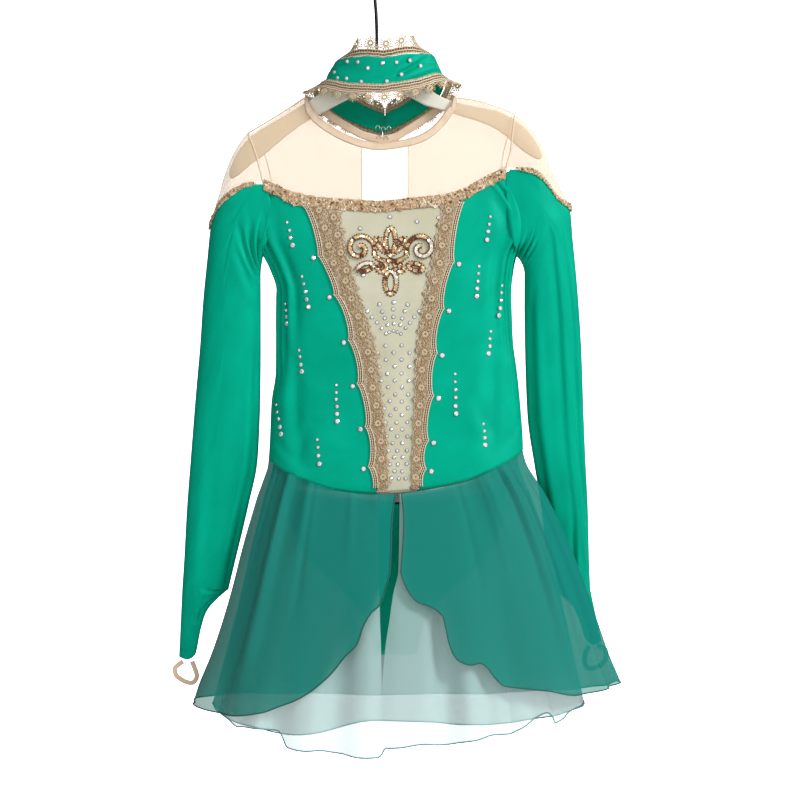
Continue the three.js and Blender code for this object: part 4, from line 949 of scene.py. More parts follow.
front_us = np.concatenate([spread(14, 0, SHOULDER_SHARE)[:-1],
                           spread(52, SHOULDER_SHARE, 1 - SHOULDER_SHARE)[:-1],
                           spread(14, 1 - SHOULDER_SHARE, 1)])
front_mesh = wearing(yoke_grid("front", chest_end("left", "front"), chest_end("right", "front"),
                               front_us, rising(40), front_top, front_bow), 0.7, 1)
sewn("yoke_front_mesh", front_mesh, nude_mesh, "nude_mesh", "yoke_front")

for side, edge, neck_share in (("left", KEYHOLE_LEFT, 4), ("right", KEYHOLE_RIGHT, 5)):
    corner = 3 / (3 + neck_share)

    def back_top(u):
        shoulder = shoulder_at(side, np.clip(1 - u / corner, 0, 1))
        reach = np.clip((u - corner) / (1 - corner), 0, 1) * neck_share / 13
        neck = neck_at("back", reach if side == "left" else 1 - reach)
        return tuple(np.where(u < corner, a, b) for a, b in zip(shoulder, neck))

    def back_bow(u, v):
        return armhole_bow(side, "back", v) * np.maximum(0, 1 - u / corner)

    us = np.concatenate([spread(14, 0, corner)[:-1], spread(16, corner, 1)])
    if side == "left":
        us = us[::-1]
    grid = wearing(yoke_grid("back", chest_end(side, "back"), edge, us, rising(36), back_top,
                             back_bow), 0.8, 2 + SIDE_TURN[side])
    rim = Cords()
    rim.lay(grid[0 if side == "left" else -1], 0.5, (0, 1, 0), 6)
    rolled = finish(rim.piece(f"keyhole_roll_{side}"), nude_tape, "nude_tape")
    sewn(f"yoke_back_{side}_mesh", grid, nude_mesh, "nude_mesh", f"yoke_back_{side}")


def binding_grid(face, us, vs):
    u, v = plane(us, vs)
    x, z = neck_at(face, u)
    x1, z1 = neck_at(face, np.minimum(u + 0.01, 1))
    x0, z0 = neck_at(face, np.maximum(u - 0.01, 0))
    long = np.hypot(x1 - x0, z1 - z0)
    end = np.minimum(u, 1 - u)
    out = SEAM_GAP + BINDING_WIDTH * np.minimum(1, 0.45 + 5 * end) * v
    x, z = x - (z1 - z0) / long * out, z + (x1 - x0) / long * out
    place = body.point(on_face(body.turn_at(x, z), face), z)
    seam = (0.75 + SEAM_GAP) * (-1 if face == "front" else 1)
    place[..., 1] = mix(seam, place[..., 1], np.sqrt(np.clip(end * 25, 0, 1)))
    return place


for face in ("front", "back"):
    us = (1 - np.cos(spread(110) * math.pi)) / 2
    grid = binding_grid(face, us if face == "front" else us[::-1], spread(4))
    sewn(f"neck_tape_{face}", grid, nude_tape, "nude_tape", f"neck_binding_{face}",
         TAPE)


# ---------------------------------------------------------------- sleeves


def sleeve_point(side, a, v):
    """Place on a sleeve's tube: a turns round it (0 outer edge, 0.25 front), v runs down it."""
    rows, cuff, outward = SLEEVES[side], CUFFS[side], SIDE_TURN[side]
    a, v = np.broadcast_arrays(np.asarray(a, float), np.asarray(v, float))
    cos, sin = np.cos(2 * math.pi * a), np.sin(2 * math.pi * a)
    share = np.minimum(v / CUFF_START, 1)
    wide, thick = signed_power(cos, 0.86), signed_power(sin, 0.86)
    out_x, out_z, in_x, in_z, y, deep = (
        through(rows, key, share) for key in ("outX", "outZ", "inX", "inZ", "y", "deep"))
    plain = np.stack([mix(in_x, out_x, (1 + wide) / 2), y - deep * thick,
                      mix(in_z, out_z, (1 + wide) / 2)], -1)
    # Near the top the tube runs into the ring of the armhole seam.
    top_z, low_z = rows["outZ"][0], rows["inZ"][0]
    z = mix(low_z, top_z, (1 + cos) / 2)
    x = np.where(sin >= 0, along(ARMHOLES[side], "z", "front", z),
                 along(ARMHOLES[side], "z", "back", z))
    turn = body.turn_at(x, z)
    ring = body.point(np.where(sin >= 0, turn, 2 - turn), z)
    ring[..., 1] *= crest_share(top_z - z) * crest_share(z - low_z)
    ring[..., 0] = x + outward * ARMHOLE_GAP
    plain = mix(plain, ring, (1 - ease(share * 4))[..., None])
    # Past the wrist it runs to the pointed cuff.
    past = np.clip((v - CUFF_START) / (1 - CUFF_START), 0, 1)
    across = (1 - wide) / 2
    tip = np.stack([along(cuff, "across", "x", across), y - deep * 0.6 * thick,
                    along(cuff, "across", "z", across)], -1)
    return mix(plain, tip, past[..., None])


def trim_share(side, a):
    """Share of the sleeve's length at which the chest trim's line crosses it at turn a."""
    a = np.asarray(a, float)

    def below(v):
        place = sleeve_point(side, a, v)
        return place[..., 2] < along(SLEEVE_TRIMS[side], "x", "z", place[..., 0])

    low, high = np.zeros_like(a), np.full_like(a, 0.5)
    for _ in range(16):
        middle = (low + high) / 2
        hit = below(middle)
        low, high = np.where(hit, low, middle), np.where(hit, middle, high)
    return np.where(below(np.zeros_like(a)), 0, low)


def trim_turn(side):
    """Turn at which the trim's line meets the armhole seam."""
    low, high = SLEEVES[side]["inZ"][0], SLEEVES[side]["outZ"][0]
    z = along(CHEST, "x", "front", chest_end(side, "front"))
    return float(np.arccos(2 * (z - low) / (high - low) - 1) / (2 * math.pi))


def cap_turn(side, u):
    reach = trim_turn(side) - CAP_CORNER
    return (mix(-reach, reach, u) + 1) % 1


def sleeve_outward(side, a, v):
    near = 0.003
    here = sleeve_point(side, a, v)
    normal = np.cross(sleeve_point(side, a + near, v) - here,
                      sleeve_point(side, a, v + near) - here)
    share = np.minimum(v / CUFF_START, 1)
    middle = (through(SLEEVES[side], "inX", share) + through(SLEEVES[side], "outX", share)) / 2
    outward = np.stack([here[..., 0] - middle, here[..., 1], np.zeros_like(middle)], -1)
    facing = np.where((normal * outward).sum(-1, keepdims=True) < 0, -1, 1)
    return unit(normal) * facing


for side in ("left", "right"):
    turns = np.arange(88) / 88
    if side == "right":
        turns = turns[::-1]
    a, v = plane(turns, spread(190))
    top = np.maximum(trim_share(side, turns) + TRIM_GAP, SLEEVE_START)[:, None]
    grid = creased(f"sleeve_{side}", sleeve_point(side, a, mix(top, 1, 1 - v)), a, v, closed=True)
    tube = cloth(f"sleeve_{side}_satin", grid, closed=True, thick=SATIN)
    finish(tube, green_satin, "green_satin", *(f"sleeve_{side}_{part}"
                                               for part in ("upper", "middle", "lower", "wrist")))
    # The finger loop is folded elastic, sewn to the point of the cuff.
    y = SLEEVES[side]["y"][-1]
    path = smooth_line([(x, y, z) for x, z in LOOPS[side]], 60)
    tangent = unit(np.gradient(path, axis=0))
    across = np.stack([-tangent[:, 2], np.zeros(60), tangent[:, 0]], -1)
    strip = path[:, None] + across[:, None] * (LOOP_WIDTH * (spread(4) - 0.5))[None, :, None]
    loop = finish(cloth(f"finger_loop_{side}_tape", strip, thick=TAPE), elastic_tape, "nude_tape",
                  f"finger_loop_{side}")
    rounds = sleeve_point(side, *plane(turns, spread(40, 0.02, 1)))

    u, v = plane(spread(44), spread(26))
    turn = cap_turn(side, u)
    end = np.maximum(trim_share(side, turn) - TRIM_GAP, CAP_SHORTEST)
    cap = sleeve_point(side, turn, mix(end, SLEEVE_START, v))
    if side == "right":
        cap = cap[::-1]
    cap = wearing(cap, 0.8, 4 + SIDE_TURN[side])
    sewn(f"sleeve_cap_{side}_mesh", cap, nude_mesh, "nude_mesh", f"sleeve_cap_{side}")


# ---------------------------------------------------------------- braid over the chest seam


def chest_braid(face):
    start, end = chest_end("left", face), chest_end("right", face)

    def place(u, w, lift):
        x = mix(start, end, u)
        z = along(CHEST, "x", face, x) + w
        return on_body(x, z, face, lift), body.normal(on_face(body.turn_at(x, z), face), z)

    return place, end - start


def sleeve_braid(side):
    def place(u, w, lift):
        turn = cap_turn(side, mix(0.004, 0.996, u))
        at = np.maximum(trim_share(side, turn) - w / 720, SLEEVE_START + 0.002)
        normal = sleeve_outward(side, turn, at)
        return sleeve_point(side, turn, at) + normal * np.asarray(lift)[..., None], normal

    line = place(spread(60), np.zeros(61), np.zeros(61))[0]
    return place, float(steps_of(line, 0).sum())


BRAIDS = {
    "chest_trim_front": (*chest_braid("front"), 1),
    "chest_trim_back": (*chest_braid("back"), -1),
    "sleeve_trim_left": (*sleeve_braid("left"), 1),
    "sleeve_trim_right": (*sleeve_braid("right"), -1),
}
for name, (place, length, way) in BRAIDS.items():
    us = spread(max(24, int(length / 4)))
    u, v = plane(us if way == 1 else us[::-1], spread(3))
    grid, _ = place(u, TRIM_WIDTH * (v - 0.5), np.full_like(u, TRIM_LIFT))
    sewn(f"{name}_ground", grid, braid_ground, "gold_lace", name,
         0.5)


# ---------------------------------------------------------------- lace of the centre panel


def lace_edge(side, z):
    """Outer edge of the panel lace: points joined by shallow arcs."""
    heights = np.array(LACE_POINTS[side], float)
    z = np.asarray(z, float)
    i = np.clip(np.searchsorted(-heights, -z, side="right") - 1, 0, len(heights) - 2)
    t = np.clip((heights[i] - z) / (heights[i] - heights[i + 1]), 0, 1)
    edge = along(PANEL, "z", "laceLeft" if side == "left" else "laceRight", z)
    return edge - SIDE_TURN[side] * SCALLOP * np.sqrt(np.maximum(0, np.sin(math.pi * t)))


def lace_inner(side, z):
    return along(PANEL, "z", "inLeft" if side == "left" else "inRight", z)


LACE_TOP = -309
LADDER_WIDTH = 5.6                # the open ladder along the lace's outer edge
for side in ("left", "right"):
    u, v = plane(spread(8), spread(300))
    if side == "left":
        u = 1 - u
    z = mix(-665, LACE_TOP, v)
    for _ in range(4):
        outer = lace_edge(side, z) - SIDE_TURN[side] * LADDER_WIDTH
        x = mix(lace_inner(side, z), outer, u)
        z = mix(along(WAIST, "x", "front", x) + 1.5, LACE_TOP, v)
    waver = (1.6 * np.sin(z / 3.5) + 1.8 * np.sin(z / 1.9 + 1)) * (1 - u)
    x = mix(lace_inner(side, z), outer, u) + waver
    grid = on_body(x, z, "front", TRIM_LIFT - 0.35)
    sewn(f"panel_lace_{side}_net", grid, gold_net, "gold_lace", f"panel_lace_{side}",
         0.4)


# ---------------------------------------------------------------- choker collar


def collar_point(a, v, out=0.0):
    """Angle a runs round the neck from -180 to 180 degrees, v from the lower to the upper edge."""
    a, v, out = np.broadcast_arrays(*(np.asarray(value, float) for value in (a, v, out)))
    turn = np.radians(a)
    low, top = (along(COLLAR_EDGES, "angle", key, np.abs(a)) for key in ("low", "top"))
    aside = (mix(COLLAR["low"], COLLAR["top"], v) + out) * np.sin(turn) - 3 * (1 - v)
    return np.stack([COLLAR["x"] + aside, COLLAR["y"] - (COLLAR["deep"] + out) * np.cos(turn),
                     mix(low, top, v) + COLLAR["tilt"] * aside], -1)


def collar_lace(edge, a, far, lift=0.0):
    """A place on the lace along one edge of the collar, far millimetres out from that edge."""
    a, far, lift = np.broadcast_arrays(*(np.asarray(value, float) for value in (a, far, lift)))
    turn, reach = np.radians(a), np.maximum(far, 0)
    lean_key, rise_key = ("topIn", "topUp") if edge == "top" else ("lowOut", "lowDown")
    lean = along(COLLAR_EDGES, "angle", lean_key, np.abs(a)) * (-1 if edge == "top" else 1)
    rise = along(COLLAR_EDGES, "angle", rise_key, np.abs(a)) * (1 if edge == "top" else -1)
    place = collar_point(a, 1.0 if edge == "top" else 0.0, 0.0 if edge == "top" else 2.4)
    outward = collar_outward(a)
    shift = np.stack([np.sin(turn) * lean * reach, -np.cos(turn) * lean * reach * 0.8,
                      far * rise], -1)
    return place + shift + outward * lift[..., None]


def collar_outward(a):
    turn = np.radians(a)
    return unit(np.stack([np.sin(turn) * COLLAR["deep"], -np.cos(turn) * COLLAR["low"],
                          np.zeros_like(turn)], -1))


u, v = plane(spread(150), spread(22))
grid = creased("collar_band", collar_point(mix(-COLLAR_END, COLLAR_END, u), v), u, v)
sewn("collar_band_satin", grid, collar_satin, "green_satin", "collar_band",
     1.4)

u, v = plane(spread(24), spread(6))
angle = mix(-TAB_HALF, TAB_HALF, u)[::-1]
grid = collar_point(180 - np.abs(angle), mix(0.03, 0.96, v), 2.4)
grid[..., 0] = np.where(angle < 0, 2 * COLLAR["x"] - grid[..., 0], grid[..., 0])
sewn("collar_tab_tape", grid, nude_tape, "nude_tape", "collar_tab", 1.2)


# ---------------------------------------------------------------- skirts


def skirt_root(off):
    """Height of a skirt's upper edge, a little below the waist seam."""
    def height(s):
        x = body.point(s, np.full_like(s, -650.0))[..., 0]
        front, back = (along(WAIST, "x", face, x) for face in ("front", "back"))
        return np.where(np.cos(s * math.pi / 2) > 0, front, back) - off
    return height


def skirt_places(near, far, low, high, u, v):
    """Places of a gore between its two long edges, its hem and its upper edge."""
    z = np.full_like(u, -800.0)
    for _ in range(12):
        s = mix(near(z), far(z), u)
        z = mix(low(s, z), high(s), v)
    return s, z


# Narrow pleats pressed in at the waist: place, width in quarter turns, depth, where they end.
OVER_PLEATS = [
    (-0.66, 0.035, -2.4, -900), (-0.58, 0.03, 6.5, -930), (-0.42, 0.045, 4.5, -780),
    (-0.16, 0.03, -2.4, -700), (-0.09, 0.025, 4.5, -720), (0.3, 0.04, -2.4, -740),
    (0.41, 0.03, 4.5, -760), (0.57, 0.028, 5.5, -960),
    (-0.93, 0.018, 1.6, -800), (-0.72, 0.016, -1.8, -860), (-0.56, 0.02, 1.5, -780),
    (-0.4, 0.014, -1.6, -850), (-0.2, 0.016, 1.3, -790), (0.24, 0.015, -1.5, -830),
    (0.37, 0.016, 1.5, -800), (0.52, 0.014, -2.0, -880), (0.66, 0.016, 2.2, -890),
    (0.79, 0.014, -2.0, -870), (0.93, 0.018, 1.6, -820), (1.1, 0.016, -1.8, -860),
    (1.33, 0.02, 1.9, -840), (1.55, 0.016, -1.8, -880), (1.84, 0.018, 1.7, -850),
    (2.05, 0.016, -2.0, -870), (2.31, 0.02, 1.8, -830), (2.52, 0.016, -1.7, -860),
    (2.79, 0.018, 1.9, -850),
]
UNDER_PLEATS = [
    (-0.54, 0.04, 1.6, -1080), (-0.43, 0.03, -8, -1080), (-0.33, 0.03, 1.6, -1080),
    (-0.2, 0.028, -9, -1080), (-0.05, 0.02, -5, -1080), (0.14, 0.025, -9, -1080),
    (0.26, 0.025, 1.6, -1080), (0.38, 0.035, -10, -1080), (0.5, 0.03, 1.6, -1080),
    (0.6, 0.03, -8, -1080),
    (-0.85, 0.018, 1.2, -820), (-0.64, 0.016, -1.3, -860), (-0.44, 0.018, 1.2, -840),
    (-0.22, 0.014, -1.2, -860), (0.26, 0.014, 1.2, -850), (0.46, 0.016, -1.2, -840),
    (0.64, 0.018, 1.3, -860), (0.84, 0.016, -1.2, -840), (1.24, 0.018, 1.2, -850),
    (1.6, 0.02, -1.3, -860), (1.94, 0.018, 1.2, -840), (2.28, 0.02, -1.3, -850),
    (2.66, 0.018, 1.2, -860),
]


def pleated(form, pleats, s, z, flutter, seed, start=-628):
    """The skirt's surface with its narrow pleats and the small flutter of its hem."""
    out = np.zeros_like(z)
    for place, wide, deep, end in pleats:
        off = np.abs((s - place + 2) % 4 - 2) / (wide * (1 + 0.5 * np.clip((-650 - z) / 200, 0, 1)))
        fade = ease((z - end) / 90) * ease((start - z) / 26)
        out += deep * fade * np.exp(-off**2)
    low = np.clip((-820 - z) / 150, 0, 1) ** 1.6
    out += flutter * low * (np.sin(31 * s + seed) + 0.6 * np.sin(53 * s + 2 * seed + 0.01 * z))
    return form.lifted(s, z, out)


def by_x(form, rows):
    return lambda s, z: along(rows, "x", "z", form.point(s, z)[..., 0])


def by_turn(rows):
    return lambda s, z: along(rows, "s", "z", s)


def opening(form, rows, side):
    return lambda z: form.turn_at(along(rows, "z", side, z), z)


def fixed(turn):
    return lambda z: np.full_like(z, turn)


SKIRT_SEAM = 0.004
BELOW_BRIEF = -775
LAYERS = [
    ("overskirt", over_ring, OVER_EDGE, OVER_HEM_LEFT, OVER_HEM_RIGHT, OVER_HEM_BACK, ROOT_GAP,
     OVER_PLEATS, 1.1, dark_chiffon, dark_roll, "dark_chiffon"),
    ("underskirt", under_ring, UNDER_EDGE, UNDER_HEM, UNDER_HEM, UNDER_HEM_BACK, ROOT_GAP + 1,
     UNDER_PLEATS, 0.9, mint_chiffon, mint_roll, "mint_chiffon"),
]
skirt_grids = {}
for (layer, form, edges, hem_left, hem_right, hem_back, off, pleats, flutter, material, roll,
     slot) in LAYERS:
    high = skirt_root(off)
    parts = [
        ("left", fixed(-1 + SKIRT_SEAM), opening(form, edges, "left"), by_x(form, hem_left), 120),
        ("right", opening(form, edges, "right"), fixed(1 - SKIRT_SEAM), by_x(form, hem_right), 120),
        ("back", fixed(1 + SKIRT_SEAM), fixed(3 - SKIRT_SEAM), by_turn(hem_back), 200),
    ]
    for part, near, far, low, columns in parts:
        u, v = plane(spread(columns), spread(80))
        s, z = skirt_places(near, far, low, high, u, v)
        start = -628 if layer == "overskirt" else BELOW_BRIEF
        grid = pleated(form, pleats, s, z, flutter, off + len(part), start)
        skirt_grids[layer, part] = grid
        hem = Cords()
        edge = grid[:, 0]
        if layer == "overskirt" and part == "left":
            edge = np.concatenate([edge, grid[-1, 1:]])
        if layer == "overskirt" and part == "right":
            edge = np.concatenate([grid[0, :0:-1], edge])
        spots = np.concatenate([[True], np.linalg.norm(np.diff(edge, axis=0), axis=1) > 0.4])
        edge = edge[spots]
        count = int(np.linalg.norm(np.diff(edge, axis=0), axis=1).sum() / 2.4)
        hem.lay(smooth_line(edge, count), HEM_ROLL, (0.03, -1, 0.05), 6)
        name = f"{layer}_{part}"
        rolled = finish(hem.piece(f"{name}_hem"), roll, slot)
        sewn(f"{name}_chiffon", grid, material, slot, name)


# ---------------------------------------------------------------- brief


BRIEF_X, BRIEF_TOP = 25, -684
BRIEF_LENGTH, BRIEF_HALF = 189, 138
BRIEF_SEAM = 1.6              # half the gap between its front and its back
SIDE_RISE = 36                # how much higher it is cut at its sides
FLAT_FROM = 100               # depth from which the gusset turns flat

for face, way in (("front", -1), ("back", 1)):
    u, v = plane(spread(44), spread(34))
    if face == "back":
        u = 1 - u
    drop, side = BRIEF_LENGTH * (1 - v), mix(-1, 1, u)
    half = BRIEF_HALF * along(BRIEF, "drop", "half", drop)
    deep = along(BRIEF, "drop", face, drop) - 3
    around = (1 - np.abs(side) ** SQUARE_SKIRT) ** (1 / SQUARE_SKIRT)
    flat = np.where(drop > FLAT_FROM, mix(around, 1, ease((drop - FLAT_FROM) / 60)), around)
    grid = np.stack([BRIEF_X + half * signed_power(np.sin(side * math.pi / 2), 0.95),
                     way * (BRIEF_SEAM + deep * flat),
                     BRIEF_TOP + SIDE_RISE * side**2 * v - drop], -1)
    sewn(f"brief_{face}_satin", grid, green_satin, "green_satin", f"brief_{face}",
         SATIN)


# ---------------------------------------------------------------- hanger

BOARD_THICK = 9
BOARD_ROUND = 1.5
WIRE = 4.6
BEND = {"radius": 22, "z": -19.7, "start": -100, "end": 130}
STEM = [(4, -43), (-1, -52), (0, -70), (1, -96), (1, -119.5)]
BOARD_START = (-9, -121.5)
BOARD_TOP = (11, -121.5)
BOARD_CURVES = [
    ((30, -130), (46, -160), (70, -169)), ((90, -185), (126, -188.5), (150, -193.5)),
    ((168, -200.5), (187, -213), (198, -230)), ((204, -239), (208, -247), (207, -252)),
    ((204, -257), (197, -252), (188, -246.5)), ((174, -237), (166, -226), (150, -216)),
    ((126, -203), (82, -194), (60, -186)), ((44, -177), (28, -167), (6, -166)),
    ((-22, -168), (-54, -190), (-85, -206)), ((-108, -218), (-134, -246), (-152, -257)),
    ((-162, -264), (-172, -275), (-179, -278)), ((-184.5, -279), (-184.5, -271), (-180.5, -262)),
    ((-176, -250), (-169, -238), (-157, -226.5)), ((-140, -214.5), (-110, -198), (-90, -185)),
    ((-60, -170), (-30, -128), (-9, -121.5)),
]


def board_outline():
    places, here = [BOARD_START, BOARD_TOP], np.array(BOARD_TOP, float)
    for first, second, end in BOARD_CURVES:
        first, second, end = (np.array(point, float) for point in (first, second, end))
        for t in np.linspace(0, 1, 13)[1:]:
            places.append(tuple((1 - t) ** 3 * here + 3 * (1 - t) ** 2 * t * first
                                + 3 * (1 - t) * t**2 * second + t**3 * end))
        here = end
    return places[:-1]


def board():
    """The board's outline as one face, extruded through its thickness, its edges rounded."""
    outline = board_outline()
    flat = new_piece("hanger_board", [(x, BOARD_THICK / 2, z) for x, z in outline],
                     [tuple(range(len(outline)))])
    select_only(flat)
    bpy.ops.object.mode_set(mode="EDIT")
    bpy.ops.mesh.select_all(action="SELECT")
    bpy.ops.mesh.extrude_region_move(
        TRANSFORM_OT_translate={"value": (0, -BOARD_THICK * MM, 0)})
    bpy.ops.mesh.select_all(action="SELECT")
    bpy.ops.mesh.normals_make_consistent(inside=False)
    bpy.ops.object.mode_set(mode="OBJECT")
    edge = flat.modifiers.new("rounding", "BEVEL")
    edge.width = BOARD_ROUND * MM
    edge.segments = 3
    edge.limit_method = "ANGLE"
    edge.angle_limit = math.radians(50)
    bpy.ops.object.modifier_apply(modifier=edge.name)
    bpy.ops.object.shade_smooth_by_angle(angle=math.radians(40))
    return flat


finish(board(), board_paint, "hanger_board", "hanger_arms")


def hook():
    """Round wire along its line: the bend over the rail, then the stem into the board."""
    turns = np.radians(np.linspace(BEND["start"], BEND["end"], 24))
    bend = [(BEND["radius"] * math.sin(t), 0, BEND["z"] + BEND["radius"] * math.cos(t))
            for t in turns]
    path = smooth_line(bend + [(x, 0, z) for x, z in STEM], 110)
    line = bpy.data.curves.new("hanger_hook_line", "CURVE")
    line.dimensions = "3D"
    line.bevel_depth = WIRE / 2 * MM
    line.bevel_resolution = 3
    line.use_fill_caps = True
    spline = line.splines.new("POLY")
    spline.points.add(len(path) - 1)
    spline.points.foreach_set("co", np.column_stack([path * MM, np.ones(len(path))]).ravel())
    wire = bpy.data.objects.new("hanger_hook_wire", line)
    bpy.context.collection.objects.link(wire)
    select_only(wire)
    bpy.ops.object.convert(target="MESH")
    bpy.ops.object.shade_smooth_by_angle(angle=math.radians(50))
    return bpy.context.object


finish(hook(), black_wire, "hook", "hanger_hook")


# ---------------------------------------------------------------- braid, laces and cords

chance = np.random.default_rng(41)
DISC_PITCH = 2.1
BRAID_ROWS = (-5.6, -3.4, -1.1, 1.1, 3.4, 5.6)


def braid_discs():
    """Small cupped discs sewn over the braid in rows, each with its own size and tilt."""
    kinds = {"gold": gold_cord, "beige": pale_cord, "rose": rose_sequin, "brown": brown_bead}
    shares = (0.36, 0.40, 0.18, 0.06)
    for name, (place, length, _) in BRAIDS.items():
        stamps = {kind: Stamps(sequin_model()) for kind in kinds}
        for row, across in enumerate(BRAID_ROWS):
            count = int(length / DISC_PITCH)
            u = (np.arange(count) + 0.5 * (row % 2) + chance.uniform(-0.2, 0.2, count)) / count
            u = np.clip(u, 0.004, 0.996)
            w = across + chance.uniform(-0.8, 0.8, count) + 1.1 * np.sin(u * length / 2.3)
            spots, outward = place(u, w, np.full(count, TRIM_LIFT + 0.3))
            picked = chance.choice(len(kinds), count, p=shares)
            for number, kind in enumerate(kinds):
                mine = picked == number
                stamps[kind].press(spots[mine], outward[mine], chance.uniform(1.1, 1.9, mine.sum()),
                                   lean=chance.uniform(0, 1.0, mine.sum()),
                                   lean_way=chance.uniform(0, 2 * math.pi, mine.sum()))
        for kind, material in kinds.items():
            finish(stamps[kind].piece(f"{name}_{kind}_discs"), material, "gold_sequin")


braid_discs()


def rosette(petals, radius, inner=0.3):
    """A flower of looped petals as one closed line, in its own plane."""
    t = 2 * math.pi * np.arange(petals * 9) / (petals * 9)
    reach = radius * (inner + (1 - inner) * (0.5 + 0.5 * np.cos(petals * t)) ** 0.7)
    swing = 0.45 / petals * np.sin(petals * t) * 2
    return np.stack([reach * np.cos(t + swing), reach * np.sin(t + swing)], -1)


LACE_RAILS = (0.6, 3.1, LADDER_WIDTH)  # cords of the edge's ladder, in from the lace's edge
RUNG_PITCH = 3.0
LADDER_BEAD = 0.95            # radius of the beads in the laces' ladders
FLOWER_PITCH = 22.0


def panel_lace_cords(side):
    inward = -SIDE_TURN[side]
    pale, gold = Cords(), Cords()
    low = -664 if side == "left" else -662
    heights = np.arange(LACE_TOP - 0.5, low, -1.1)

    def edge_place(z, inset, lift):
        return on_body(lace_edge(side, z) + inward * inset, z, "front", lift)

    def net_place(z, w, lift):
        outer = lace_edge(side, z) + inward * LACE_RAILS[-1]
        return on_body(mix(outer, lace_inner(side, z), w), z, "front", lift)

    for inset in LACE_RAILS:
        pale.lay(edge_place(heights, inset, TRIM_LIFT + 0.3), 0.85 if inset < 1 else 0.7,
                 (0, -1, 0), 5)
    for z in np.arange(LACE_TOP - 2, low + 2, -RUNG_PITCH):
        z3 = np.full(5, z)
        gold.lay(edge_place(z3, np.linspace(*LACE_RAILS[::2], 5), TRIM_LIFT + 0.2), 0.5,
                 (0, -1, 0), 4)
    # A bronze bead sits in every opening of the ladder.
    beads = Stamps(bead_model())
    between_rungs = np.arange(LACE_TOP - 2 - RUNG_PITCH / 2, low + 2, -RUNG_PITCH)
    for inset in (LACE_RAILS[0] + LACE_RAILS[1], LACE_RAILS[1] + LACE_RAILS[2]):
        spots = edge_place(between_rungs, inset / 2, TRIM_LIFT + 0.4)
        beads.press(spots, body.normal(body.turn_at(spots[:, 0], spots[:, 2]), spots[:, 2]),
                    LADDER_BEAD)
    finish(beads.piece(f"panel_lace_{side}_beads", smooth=True), brown_bead, "gold_lace")
    # Wandering cords fill the net between its flowers.
    for number, w in enumerate(np.linspace(0.06, 0.96, 9)):
        step = np.arange(LACE_TOP - 1, low + 1, -0.75)
        wander = 0.045 * np.sin(step / 1.25 + 2.4 * number) + 0.03 * np.sin(step / 3.3 + number**2)
        lift = TRIM_LIFT + 0.25 + 0.2 * np.sin(step / 1.7 + number)
        (gold if number % 2 else pale).lay(net_place(step, w + wander, lift), 0.36, (0, -1, 0), 4)
    for number, z in enumerate(np.arange(LACE_TOP - 11, low + 9, -FLOWER_PITCH)):
        wide = abs(lace_edge(side, z) - lace_inner(side, z)) - LACE_RAILS[-1]
        rows = (0.28, 0.72) if wide > 27 else (0.5,)
        for row, w in enumerate(rows):
            middle_z = z - 9 * row
            outer = lace_edge(side, middle_z) + inward * LACE_RAILS[-1]
            middle_x = mix(outer, lace_inner(side, middle_z), w)
            for petals, radius, cord, lift in ((8, 6.4, gold, 0.75), (8, 3.4, pale, 0.95)):
                line = rosette(petals, radius)
                spots = on_body(middle_x + line[:, 0], middle_z + line[:, 1], "front",
                                TRIM_LIFT + lift)
                cord.lay(spots, 0.55, (0, -1, 0), 4, closed=True)
            leaf = rosette(3, 4.2, 0.12)
            spots = on_body(middle_x + leaf[:, 0], middle_z - 11 + leaf[:, 1], "front",
                            TRIM_LIFT + 0.6)
            gold.lay(spots, 0.5, (0, -1, 0), 4, closed=True)
    finish(pale.piece(f"panel_lace_{side}_pale_cord"), pale_cord, "gold_lace")
    finish(gold.piece(f"panel_lace_{side}_gold_cord"), gold_cord, "gold_lace")


for side in ("left", "right"):
    panel_lace_cords(side)

# The collar's lace: a ladder band along the satin's edge, then a row of stars.
COLLAR_RAILS = (0.8, 4.6, 8.6, 11.4)
STAR_FAR = 17.0
STAR_RADIUS = 8.4
STAR_POINTS = 14


def even_angles(edge, far, pitch):
    """Angles whose places on the collar's lace lie evenly apart, and degrees a millimetre."""
    fine = np.linspace(-COLLAR_END, COLLAR_END, 1400)
    reach = run_along(collar_lace(edge, fine, far))
    count = round(reach[-1] / pitch)
    angles = np.interp((np.arange(count) + 0.5) / count * reach[-1], reach, fine)
    return angles, np.interp(angles, fine[1:], np.diff(fine) / np.diff(reach))


